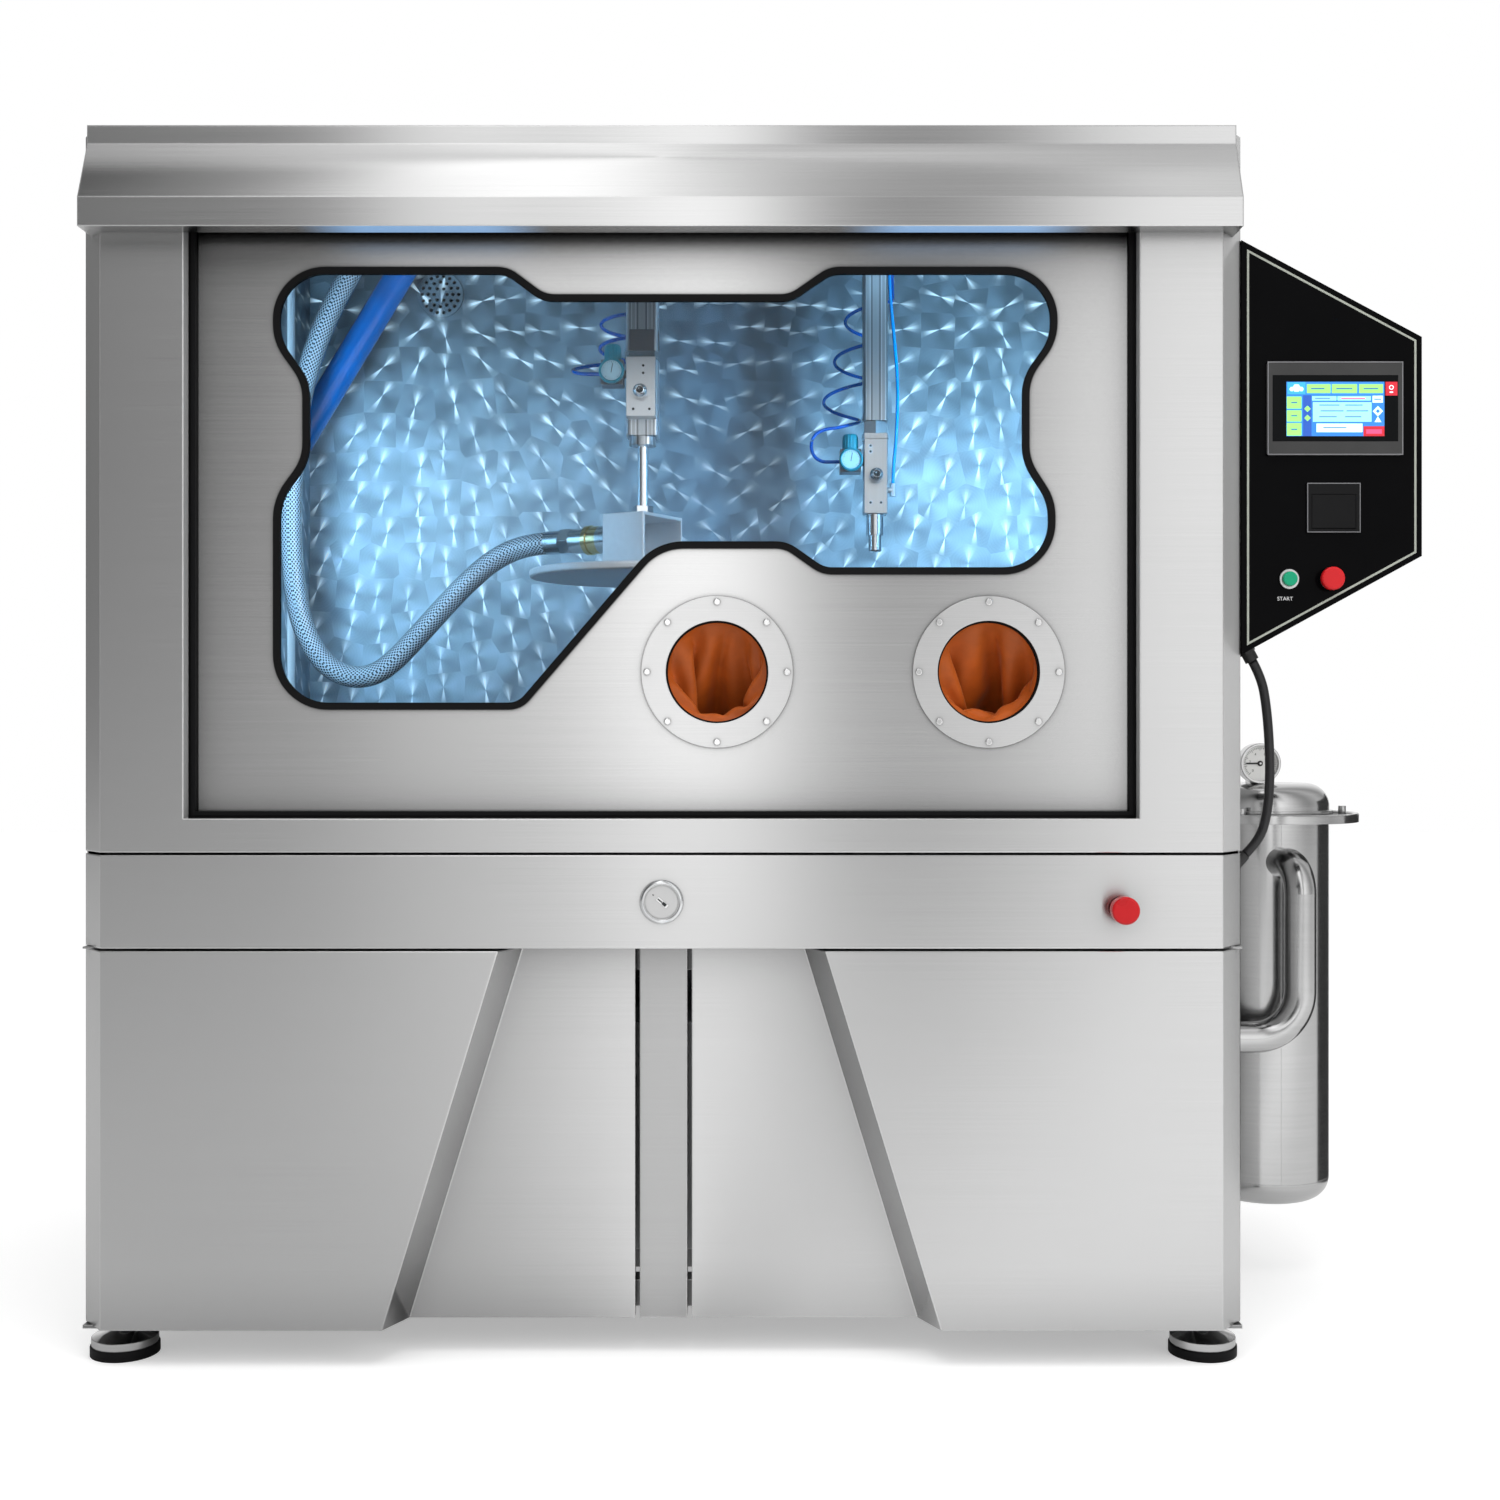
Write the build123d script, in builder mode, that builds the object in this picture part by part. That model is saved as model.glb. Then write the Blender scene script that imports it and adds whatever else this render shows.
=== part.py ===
from build123d import *
from math import cos, hypot, pi, radians, sin, tan
import os

os.makedirs("parts", exist_ok=True)

# Sizes are in mm. Places are given in the cabinet's own terms: x from its centre line, y back from
# its front face, z up from the floor. spot() carries them to the part's origin.

# Cabinet
cabinet_width = 1700.0
cabinet_depth = 900.0
cabinet_height = 1798.0
ground_gap = 54.0
sheet = 2.0
seam = 4.0
side_seam = 6.0
weld_gap = 0.2
slide_gap = 0.5
pin_gap = 0.05
chamfer_width = 37.5
chamfer_depth = 46.0
flange_depth = 20.0
band_bottom_drop = 1193.0
band_top_drop = 1054.0
half_width = cabinet_width / 2

# Welded square-tube frame
tube = 40.0
tube_wall = 3.0
post_front = 100.0
base_bottom = 58.0
cross_rail_y = (300.0, 650.0)
post_in = half_width - sheet - tube
post_rear = cabinet_depth - sheet - tube
panel_top = cabinet_height - sheet

# Hood over the door
hood_side = 17.0
hood_width = cabinet_width - 2 * hood_side
hood_reach = 34.0
hood_set = 5.0
hood_lap = 24.0
hood_bottom_drop = 155.0
hood_facet_drop = 113.0
hood_slope_drop = 25.0
frame_top_drop = 48.0

# Door opening and its seal
frame_side = 158.0
opening_width = cabinet_width - 2 * frame_side
opening_bottom_drop = 1003.5
opening_top_drop = 133.0
reveal_depth = 24.0
seal_inset_side = 10.0
seal_inset_bottom = 10.0
seal_width = 22.0
seal_groove = 3.6
seal_groove_in = 6.0
seal_groove_depth = 3.0
door_face = 32.0

# Lifting door
door_lap = 28.0
door_width = opening_width + 2 * door_lap
door_bottom_drop = 1022.0
door_top_drop = 86.0
door_depth = 20.0
door_travel = 620.0
guide_wall = 4.0
lug_reach = 55.0
lug_height = 16.0
lug_depth = 12.0
lug_clear = 26.0
rod_stud_dia = 10.0

# Lift cylinders in the side columns
lift_dia = 40.0
lift_bore = 32.0
lift_rod_dia = 14.0
lift_cap = 14.0
lift_piston = 18.0
lift_offset = 40.0
lift_x = door_width / 2 + lift_offset
lift_set = 2.0
lift_y = door_face + door_depth / 2 + lift_set
lift_shelf = 24.0
lift_shelf_front = 26.0

# Window: sharp corners of the seal's outer edge, each with its place, its drop below the cabinet's
# top and its radius, clockwise from top left
window_corners = (
    (-570.0, 197.0, 76.0),
    (-226.0, 197.0, 50.0),
    (-172.0, 237.0, 42.0),
    (186.0, 237.0, 42.0),
    (244.0, 197.0, 50.0),
    (578.0, 197.0, 76.0),
    (578.0, 305.0, 80.0),
    (537.0, 361.0, 70.0),
    (537.0, 479.0, 70.0),
    (575.0, 538.0, 80.0),
    (575.0, 647.0, 76.0),
    (233.0, 647.0, 50.0),
    (179.0, 609.0, 42.0),
    (-4.0, 609.0, 75.0),
    (-207.0, 845.0, 40.0),
    (-570.0, 845.0, 80.0),
    (-570.0, 536.0, 90.0),
    (-527.0, 478.0, 70.0),
    (-527.0, 367.0, 70.0),
    (-570.0, 307.0, 80.0),
)
seal_lip = 10.5
seal_grip = 5.0
seal_web = 2.5
seal_proud = 3.0
glass = 4.0

# Glove ports
port_x = (79.7, 477.4)
port_drop = 789.7
port_ring_dia = 222.0
port_hole_dia = 150.0
port_ring = 3.0
port_screw_circle = 205.0
port_screws = 8
screw_head_dia = 10.5
screw_head = 3.3
cuff_wall = 3.5

# Chamber
chamber_back = 750.0
chamber_front = door_face + door_depth + slide_gap + guide_wall
chamber_floor_drop = 1038.0
chamber_ceiling_drop = 12.0
sill_height = 30.0
drain_y = 650.0
drain_dia = 60.0
drain_wall = 4.0
drain_dip = 20.0
rack_bar = 8.0
rack_height = 20.0
rack_pitch = 58.0
rack_margin = 14.0
bearer_shares = (0.1, 0.5, 0.86)
lamp_x = (-340.0, 440.0)
lamp_y = 200.0
lamp_length = 300.0
lamp_width = 50.0
lamp_height = 20.0
vent_x = -448.0
vent_drop = 62.0
vent_dia = 86.0
vent_thick = 6.0
vent_hole = 7.0
vent_ring_radii = (12.0, 23.0, 34.0)
vent_ring_counts = (6, 12, 18)

# Press head, at the left of the chamber
press_x = -48.0
press_y = 350.0
press_barrel = 52.0
press_barrel_drop = 394.0
press_bore = 40.0
press_rod_dia = 18.0
press_gland_dia = 44.0
press_gland_drop = 408.0
press_up = 90.0
press_down = 150.0
press_piston_drop = 208.0
press_piston = 20.0
piston_stop = 6.0
press_block_width = 46.0
press_block_depth = 30.0
press_block_bottom_drop = 368.0
press_block_top_drop = 273.0
press_nut = 30.0
press_nut_height = 16.0
fixture_turn = -30.0
fixture_width = 118.0
fixture_length = 80.0
fixture_wall = 5.0
fixture_drop = 523.0
plate_dia = 370.0
plate_thick = 13.0
plate_drop = 613.0
coupling_drop = 557.0
coupling_dia = 46.0
coupling_length = 98.0
ferrule_dia = 40.0
ferrule_length = 53.0
ferrule_nut = 21.0

# Spray head, at the right of the chamber
spray_x = 345.0
spray_y = 520.0
spray_barrel = 42.0
spray_barrel_drop = 339.0
spray_neck_dia = 34.0
spray_block = 40.0
spray_block_top_drop = 371.0
spray_block_bottom_drop = 499.0
spray_bore = 30.0
spray_rod_dia = 16.0
spray_travel = 270.0
spray_piston = 20.0
spray_piston_drop = 48.0
nozzle_dia = 31.0
nozzle_drop = 536.0
tip_dia = 23.0
tip_drop = 564.0
tip_bore = 9.0
elbow_dia = 22.0
elbow_reach = 18.0
elbow_spigot_dia = 17.6
press_elbow_drop = 331.0
spray_port_drop = 446.0

# Air regulators beside the two heads
regulator_body = 36.0
regulator_height = 40.0
regulator_nipple = 5.0
regulator_nipple_dia = 14.0
regulator_gauge_dia = 38.0
regulator_gauge = 12.0
regulator_stem_dia = 12.0
regulator_stem = 20.0
knob_dia = 28.0
knob_height = 27.0
press_regulator_drop = 298.0
spray_regulator_drop = 408.0

# Hoses and air lines: each coil has its radius, its turns, the heights and set-back of its axis, and
# how far the lower end leans from the upper
air_tube_dia = 6.0
air_tube_straight = 18.0
press_coil_r = 27.0
press_coil_turns = 2.25
press_coil_drops = (176.0, 268.0)
press_coil_back = 36.0
press_coil_lean = (-4.0, -10.0)
press_coil_start_drop = 108.0
spray_coil_r = 38.0
spray_coil_turns = 3.25
spray_coil_drops = (108.0, 346.0)
spray_coil_back = 64.0
spray_coil_lean = (-64.0, -30.0)
spray_coil_start_drop = 54.0
spray_line_route = (
    (-6.0, 12.0, 1740.0),
    (-4.0, 10.0, 1680.0),
    (9.0, 4.0, 1530.0),
    (5.0, 1.0, 1420.0),
)
hose_dia = 38.0
hose_lead = 48.0
blue_hose_dia = 52.0
blue_hose_bore = 44.0
blue_hose_run = 208.0
blue_hose_y = 654.0
blue_hose_top = (blue_hose_run - opening_width / 2, blue_hose_y)
blue_hose_wall_drop = 358.0

# Lower doors and the centre post
fold_top_x = 237.0
fold_bottom_x = 405.0
fold_run = 29.0
recess_depth = 60.0
post_half = 35.0
post_seam = 7.0
pivot_in = 14.0
pivot_y = 40.0
pivot_dia = 8.0
pivot_length = 7.0
pivot_plate = 5.0
pivot_margin = 12.0
top_pivot_plate = 3.0

# Drawer behind the band
slide_space = 23.0
drawer_box_bottom_drop = 1186.0
drawer_box_top_drop = 1083.0
drawer_box_front = 40.0
drawer_box_rear = 540.0
slide_drop = 1143.0
slide_height = 30.0
slide_bar = 18.0
slide_wall = 4.0
slide_rear = 560.0
lock_drop = 1123.5
lock_ring_dia = 63.0
lock_ring = 3.0
lock_barrel_dia = 56.0
lock_core_dia = 49.0
lock_length = 28.0
lock_core_set = 1.0
keyway = (3.0, 14.0, 10.0)
keyway_turn = -45.0
estop_side = 185.5
estop_x = half_width - estop_side
estop_drop = 1133.0
estop_head_dia = 40.0
estop_head = 18.0
estop_neck_dia = 34.0
estop_neck = 17.0
estop_stem_dia = 16.0
estop_travel = 5.0
estop_block = 38.0
estop_block_depth = 30.0

# Levelling feet
foot_side = 50.0
foot_x = half_width - foot_side
foot_front_y = 70.0
foot_rear_y = 830.0
foot_dia = 100.0
foot_pad = 15.0
foot_cap = 11.0
foot_cone = 10.0
foot_neck_dia = 30.0
stem_dia = 20.0
foot_bracket = 36.0
foot_bracket_front = 50.0

# Tank and pump in the lower cabinet
tank_x = (-650.0, 90.0)
tank_y = (260.0, 790.0)
tank_clear = 152.0
tank_wall = 3.0
pump_x = 200.0
pump_y = 500.0
pump_size = 140.0
pump_head = 130.0
motor_dia = 160.0
motor_length = 260.0
motor_rise = 14.0
motor_foot = 26.0
pump_base = 8.0
pump_pipe_dia = 40.0

# Control box on the right side
box_face = 40.0
box_depth = 140.0
box_width = 265.0
box_left_drops = (764.0, 155.0)
box_right_drops = (619.0, 297.0)
box_wall = 2.0
face_plate = 3.0
hmi_side = 3.5
hmi_x = half_width + box_width / 2 + hmi_side
hmi_drop = 403.0
hmi_width = 200.0
hmi_height = 138.0
hmi_proud = 6.0
hmi_body_inset = 8.0
hmi_body_depth = 45.0
screen_width = 154.0
screen_height = 88.0
screen_thick = 2.0
printer_side = 2.0
printer_x = half_width + box_width / 2 + printer_side
printer_drop = 548.5
printer_width = 79.0
printer_height = 73.5
printer_proud = 4.0
printer_body_inset = 5.0
printer_depth = 50.0
printer_wall = 3.0
lid_width = 64.0
lid_height = 50.0
lid_thick = 4.0
lid_drop = 6.0
lid_gap = 0.6
lid_pin_dia = 4.0
start_side = 69.5
start_x = half_width + start_side
stop_side = 130.0
stop_x = half_width + stop_side
button_drop = 653.0
button_ring_dia = 29.5
button_ring = 4.0
button_hole_dia = 22.0
start_cap_dia = 21.0
start_cap = 6.0
start_travel = 3.0
stop_head_dia = 34.0
stop_head = 8.0
stop_lift = 6.0
stop_travel = 5.0
button_stem = 30.0
gland_along = 28.0
gland_y = 110.0
gland_dia = 25.0
gland_length = 22.0
gland_nut = 9.0
gland_body_dia = 21.0
cable_dia = 14.0
cable_lead = 30.0
cable_entry_drop = 1086.0
boot_dia = 26.0
boot_length = 34.0
boot_tip_dia = 17.0

# Filter canister
canister_dia = 219.0
canister_gap = 52.5
canister_y = 500.0
canister_wall = 3.0
canister_bottom = 126.0
canister_round = 40.0
canister_flange_dia = 316.0
canister_flange = 9.0
canister_flange_top = 778.0
canister_rim = 6.0
canister_rim_width = 9.0
clamp_lugs = 3
clamp_lug = 16.0
clamp_lug_dia = 13.0
clamp_lug_circle = 274.0
bracket_width = 100.0
bracket_thick = 6.0
bracket_z = (250.0, 650.0)
lid_ring_dia = 232.0
lid_ring = 10.0
dome_dia = 220.0
dome_top = 833.5
dome_round = 38.0
dome_wall = 3.0
gauge_dia = 68.0
gauge_depth = 28.0
gauge_rim = 4.0
gauge_recess = 6.0
gauge_aside = 23.0
gauge_y = 428.0
gauge_z = 868.0
gauge_pin_dia = 4.0
needle_hub_dia = 9.0
needle_length = 24.0
needle_width = 2.4
needle_thick = 1.0
pipe_dia = 51.0
pipe_bore = 47.0
pipe_wall_y = 330.0
pipe_low_z = 423.0
pipe_high_z = 704.0
pipe_side = 13.0
pipe_start_side = 4.0
pipe_bends = (46.0, 76.0)
pipe_end_in = 30.0

# Heights from the floor, worked out from the drops below the cabinet's top
band_bottom = cabinet_height - band_bottom_drop
band_top = cabinet_height - band_top_drop
hood_bottom = cabinet_height - hood_bottom_drop
hood_facet_top = cabinet_height - hood_facet_drop
hood_slope_top = cabinet_height - hood_slope_drop
frame_top = cabinet_height - frame_top_drop
opening_bottom = cabinet_height - opening_bottom_drop
opening_top = cabinet_height - opening_top_drop
door_bottom = cabinet_height - door_bottom_drop
door_top = cabinet_height - door_top_drop
port_z = cabinet_height - port_drop
chamber_floor_z = cabinet_height - chamber_floor_drop
chamber_ceiling_z = cabinet_height - chamber_ceiling_drop
vent_z = cabinet_height - vent_drop
press_barrel_end = cabinet_height - press_barrel_drop
press_gland_end = cabinet_height - press_gland_drop
press_piston_z = cabinet_height - press_piston_drop
press_block_bottom = cabinet_height - press_block_bottom_drop
press_block_top = cabinet_height - press_block_top_drop
fixture_top = cabinet_height - fixture_drop
plate_top = cabinet_height - plate_drop
coupling_z = cabinet_height - coupling_drop
press_elbow_z = cabinet_height - press_elbow_drop
press_regulator_z = cabinet_height - press_regulator_drop
spray_barrel_end = cabinet_height - spray_barrel_drop
spray_block_top = cabinet_height - spray_block_top_drop
spray_block_bottom = cabinet_height - spray_block_bottom_drop
spray_piston_z = cabinet_height - spray_piston_drop
nozzle_end = cabinet_height - nozzle_drop
tip_end = cabinet_height - tip_drop
spray_port_z = cabinet_height - spray_port_drop
spray_regulator_z = cabinet_height - spray_regulator_drop
press_coil_drop_z = cabinet_height - press_coil_start_drop
spray_coil_drop_z = cabinet_height - spray_coil_start_drop
blue_hose_wall_z = cabinet_height - blue_hose_wall_drop
drawer_box_bottom = cabinet_height - drawer_box_bottom_drop
drawer_box_top = cabinet_height - drawer_box_top_drop
slide_z = cabinet_height - slide_drop
lock_z = cabinet_height - lock_drop
estop_z = cabinet_height - estop_drop
hmi_z = cabinet_height - hmi_drop
printer_z = cabinet_height - printer_drop
button_z = cabinet_height - button_drop
cable_entry_z = cabinet_height - cable_entry_drop
press_coil_z = [cabinet_height - drop for drop in press_coil_drops]
spray_coil_z = [cabinet_height - drop for drop in spray_coil_drops]
box_left_z = [cabinet_height - drop for drop in box_left_drops]
box_right_z = [cabinet_height - drop for drop in box_right_drops]
tank_top = drawer_box_bottom - tank_clear
drain_end = tank_top - drain_dip
drawer_box_half = post_in - slide_space

canister_x = half_width + canister_gap + canister_dia / 2
pipe_x = canister_x + pipe_side
pipe_start_x = canister_x - pipe_start_side
x0 = -(canister_x + canister_flange_dia / 2 - half_width) / 2
y0 = -(cabinet_depth - estop_head - estop_neck - estop_travel) / 2


# Carries a place in cabinet terms to the part's frame
def spot(x, y, z):
    return (x0 + x, y0 + y, z)


# Sketch plane seen from the front: local x, y are cabinet x and z; extrude(-t) goes back by t
def front(y):
    return Plane(origin=spot(0, y, 0), x_dir=(1, 0, 0), z_dir=(0, -1, 0))


# Sketch plane seen from above: local x, y are cabinet x and y
def level(z):
    return Plane(origin=spot(0, 0, z))


# Sketch plane seen from the right: local x, y are cabinet y and z
def side(x):
    return Plane(origin=spot(x, 0, 0), x_dir=(0, 1, 0), z_dir=(1, 0, 0))


# Box between two values on each axis
def block(xs, ys, zs, mode=Mode.ADD):
    with Locations(spot(sum(xs) / 2, sum(ys) / 2, sum(zs) / 2)):
        Box(abs(xs[1] - xs[0]), abs(ys[1] - ys[0]), abs(zs[1] - zs[0]), mode=mode)


# Upright cylinder between two heights
def column(x, y, zs, dia, mode=Mode.ADD):
    with Locations(spot(x, y, zs[0])):
        Cylinder(
            dia / 2, zs[1] - zs[0], align=(Align.CENTER, Align.CENTER, Align.MIN), mode=mode
        )


# Cylinder along y between two depths
def spindle(x, z, ys, dia, mode=Mode.ADD):
    with Locations(Location(spot(x, ys[0], z), (-90, 0, 0))):
        Cylinder(
            dia / 2, ys[1] - ys[0], align=(Align.CENTER, Align.CENTER, Align.MIN), mode=mode
        )


# Cylinder along x between two places
def axle(y, z, xs, dia, mode=Mode.ADD):
    with Locations(Location(spot(xs[0], y, z), (0, 90, 0))):
        Cylinder(
            dia / 2, xs[1] - xs[0], align=(Align.CENTER, Align.CENTER, Align.MIN), mode=mode
        )


# The path moved to its left by a distance, with mitred corners
def offset_path(points, distance):
    normals = []
    for (x1, y1), (x2, y2) in zip(points, points[1:]):
        run = hypot(x2 - x1, y2 - y1)
        normals.append(((y1 - y2) / run, (x2 - x1) / run))
    moved = []
    for index, (x, y) in enumerate(points):
        before = normals[max(index - 1, 0)]
        after = normals[min(index, len(normals) - 1)]
        share = distance / (1 + before[0] * after[0] + before[1] * after[1])
        moved.append((x + share * (before[0] + after[0]), y + share * (before[1] + after[1])))
    return moved


# Closed outline of a folded sheet along a path
def strip(points, thickness):
    return points + offset_path(points, thickness)[::-1]


# Plan of the cabinet's front with its two chamfered corners, left to right
front_path = [
    (-half_width, chamfer_depth),
    (-half_width + chamfer_width, 0),
    (half_width - chamfer_width, 0),
    (half_width, chamfer_depth),
]


def finish(piece, name):
    piece.part.label = name
    export_step(piece.part, f"parts/{name}.step")


# Frame of square tubes: each member is a separate tube, welded where it meets the next
base_top = base_bottom + tube
mid_top = band_bottom - seam / 2 + slide_gap
foot_bracket_bottom = ground_gap - 2 * slide_gap
lift_base = chamber_floor_z + lift_shelf
rail_x = (-post_in + weld_gap, post_in - weld_gap)
rail_y = (post_front + tube + weld_gap, post_rear - weld_gap)


def square_tube(xs, ys, zs, along):
    block(xs, ys, zs)
    ranges = {"x": xs, "y": ys, "z": zs}
    inner = []
    for axis in "xyz":
        low, high = ranges[axis]
        inner.append((low, high) if axis == along else (low + tube_wall, high - tube_wall))
    block(*inner, mode=Mode.SUBTRACT)


with BuildPart() as cabinet_frame:
    ring_levels = (
        (base_bottom, base_top),
        (mid_top - tube, mid_top),
        (chamber_floor_z - tube, chamber_floor_z),
    )
    for low, high in ring_levels:
        square_tube(rail_x, (post_front, post_front + tube), (low, high), "x")
        square_tube(rail_x, (post_rear, post_rear + tube), (low, high), "x")
    for y in cross_rail_y:
        square_tube(rail_x, (y, y + tube), (base_bottom, base_top), "x")
    square_tube(rail_x, (post_rear, post_rear + tube), (panel_top - tube, panel_top), "x")
    for xs in ((-post_in - tube, -post_in), (post_in, post_in + tube)):
        for y in (post_front, post_rear):
            square_tube(xs, (y, y + tube), (base_bottom, panel_top), "z")
        for low, high in ring_levels + ((panel_top - tube, panel_top),):
            square_tube(xs, rail_y, (low, high), "y")
    for way in (-1, 1):
        foot_sides = (way * foot_x - foot_bracket / 2, way * foot_x + foot_bracket / 2)
        bracket_z_range = (foot_bracket_bottom, base_top)
        block(foot_sides, (foot_bracket_front, post_front - weld_gap), bracket_z_range)
        rear_edge = foot_rear_y - foot_bracket / 2
        block(foot_sides, (rear_edge, post_rear - weld_gap), bracket_z_range)
        for y in (foot_front_y, foot_rear_y):
            hole = (foot_bracket_bottom, base_top)
            column(way * foot_x, y, hole, stem_dia + 2 * weld_gap, mode=Mode.SUBTRACT)
        shelf_x = (way * lift_x - lift_dia / 2, way * lift_x + lift_dia / 2)
        shelf_z = (chamber_floor_z + weld_gap, lift_base)
        block(shelf_x, (lift_shelf_front, post_front + tube), shelf_z)
finish(cabinet_frame, "cabinet_frame")

# Outer sheets: left side, right side, rear and top
pipe_hole = pipe_dia + 2 * slide_gap
side_step = band_top + seam / 2
side_outline = [
    (chamfer_depth + sheet, panel_top - weld_gap),
    (cabinet_depth, panel_top - weld_gap),
    (cabinet_depth, ground_gap),
    (chamfer_depth + side_seam, ground_gap),
    (chamfer_depth + side_seam, side_step),
    (chamfer_depth + sheet, side_step),
]
top_corner = offset_path(front_path, hood_set + sheet + weld_gap)
slot_half = door_width / 2 + lug_reach + sheet
with BuildPart() as outer_panels:
    for x in (-half_width, half_width - sheet):
        with BuildSketch(side(x)):
            with BuildLine():
                Polyline(*side_outline, close=True)
            make_face()
        extrude(amount=sheet)
    axle(pipe_wall_y, pipe_low_z, (half_width - tube, half_width), pipe_hole, mode=Mode.SUBTRACT)
    cable_hole = cable_dia + 2 * slide_gap
    axle(gland_y, cable_entry_z, (half_width - tube, half_width), cable_hole, mode=Mode.SUBTRACT)
    inner_half = half_width - sheet - weld_gap
    rear_y = (cabinet_depth - sheet, cabinet_depth)
    block((-inner_half, inner_half), rear_y, (ground_gap, panel_top - weld_gap))
    with BuildSketch(level(panel_top)):
        with BuildLine():
            Polyline(
                top_corner[0],
                top_corner[1],
                (-slot_half, top_corner[1][1]),
                (-slot_half, chamber_front),
                (slot_half, chamber_front),
                (slot_half, top_corner[2][1]),
                top_corner[2],
                top_corner[3],
                (half_width, top_corner[3][1]),
                (half_width, cabinet_depth),
                (-half_width, cabinet_depth),
                (-half_width, top_corner[0][1]),
                close=True,
            )
        make_face()
    extrude(amount=sheet)
finish(outer_panels, "outer_panels")

# Front frame around the door opening, with the opening's edges folded back
frame_bottom = band_top + seam / 2
opening_half = opening_width / 2
hood_half = hood_width / 2
with BuildPart() as front_frame:
    with BuildSketch(level(frame_bottom)):
        with BuildLine():
            Polyline(*strip(front_path, sheet), close=True)
        make_face()
    extrude(amount=panel_top - frame_bottom)
    with BuildSketch(level(frame_bottom)):
        with BuildLine():
            Polyline(*strip(front_path, flange_depth), close=True)
        make_face()
    extrude(amount=sheet)
    reveal_half = opening_half + sheet
    reveal_z = (opening_bottom - sheet, opening_top)
    block((-reveal_half, reveal_half), (0, reveal_depth), reveal_z)
    block(
        (-opening_half, opening_half),
        (-sheet, reveal_depth + sheet),
        (opening_bottom, opening_top),
        mode=Mode.SUBTRACT,
    )
    hood_gap = hood_half + slide_gap
    block((-hood_gap, hood_gap), (-sheet, tube), (frame_top, panel_top), mode=Mode.SUBTRACT)
finish(front_frame, "front_frame")

# Hood: folded fascia with a bottom return, closed by an end plate at each side and trimmed to the
# cabinet's front and chamfers
hood_top = cabinet_height + sheet
hood_path = [
    (hood_lap, hood_bottom),
    (-hood_reach, hood_bottom),
    (-hood_reach, hood_facet_top),
    (hood_set, hood_slope_top),
    (hood_set, hood_top),
    (hood_lap, hood_top),
]
with BuildPart() as hood:
    with BuildSketch(side(-hood_half)):
        with BuildLine():
            Polyline(*strip(hood_path, -sheet), close=True)
        make_face()
    extrude(amount=hood_width)
    for x in (-hood_half, hood_half - sheet):
        with BuildSketch(side(x)):
            with BuildLine():
                Polyline(*hood_path, close=True)
            make_face()
        extrude(amount=sheet)
    with BuildSketch(level(hood_bottom - sheet)):
        with BuildLine():
            Polyline(*front_path, (half_width, cabinet_depth), (-half_width, cabinet_depth), close=True)
        make_face()
    extrude(amount=frame_top + slide_gap - hood_bottom + sheet, mode=Mode.SUBTRACT)
finish(hood, "hood")

# Rubber door seal behind the opening's left, right and lower edges
seal_in = opening_half - seal_inset_side
seal_sill = opening_bottom + seal_inset_bottom
seal_y = (reveal_depth, door_face - slide_gap)
with BuildPart() as door_seal:
    seal_low = seal_sill - seal_width
    block((-seal_in - seal_width, seal_in + seal_width), seal_y, (seal_low, opening_top))
    groove_y = (reveal_depth, reveal_depth + seal_groove_depth)
    groove_out = seal_in + seal_groove_in + seal_groove
    groove_low = seal_sill - seal_groove_in - seal_groove
    block((-groove_out, groove_out), groove_y, (groove_low, opening_top), mode=Mode.SUBTRACT)
    ridge_in = seal_in + seal_groove_in
    ridge_low = seal_sill - seal_groove_in
    block((-ridge_in, ridge_in), groove_y, (ridge_low, opening_top))
    block((-seal_in, seal_in), seal_y, (seal_sill, opening_top), mode=Mode.SUBTRACT)
finish(door_seal, "door_seal")

# Door guides: an upright channel at each side, open at its outer wall above the lift lugs
door_half = door_width / 2
door_back = door_face + door_depth
lift_floor = lift_base + lift_cap
lift_roof = lift_floor + slide_gap + lift_piston + door_travel + 2 * slide_gap
lift_end = lift_roof + lift_cap
lug_bottom = lift_end + lug_clear
lug_top = lug_bottom + lug_height
guide_web = door_half + slide_gap
guide_top = panel_top - weld_gap
guide_leg_in = seal_in + seal_width + weld_gap
with BuildPart() as door_guides:
    for way in (-1, 1):
        outer = way * (guide_web + guide_wall)
        front_leg = (sheet, door_face - slide_gap)
        rear_leg = (door_back + slide_gap, door_back + slide_gap + guide_wall)
        block((way * guide_leg_in, outer), front_leg, (frame_bottom + sheet, frame_top))
        block((way * (opening_half - sheet), outer), rear_leg, (frame_bottom + sheet, guide_top))
        web_z = (frame_bottom + sheet, lug_bottom - slide_gap)
        block((way * guide_web, outer), (sheet, rear_leg[1]), web_z)
        stop_z = (frame_bottom + sheet, door_bottom - slide_gap)
        block((way * guide_leg_in, outer), (sheet, rear_leg[1]), stop_z)
finish(door_guides, "door_guides")

# Lift cylinders: closed barrels with a bore for the piston and a gland for the rod
with BuildPart() as lift_cylinders:
    for way in (-1, 1):
        column(way * lift_x, lift_y, (lift_base, lift_end), lift_dia)
        column(way * lift_x, lift_y, (lift_floor, lift_roof), lift_bore, mode=Mode.SUBTRACT)
        gland_hole = lift_rod_dia + 2 * pin_gap
        column(way * lift_x, lift_y, (lift_roof, lift_end), gland_hole, mode=Mode.SUBTRACT)
finish(lift_cylinders, "lift_cylinders")

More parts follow.
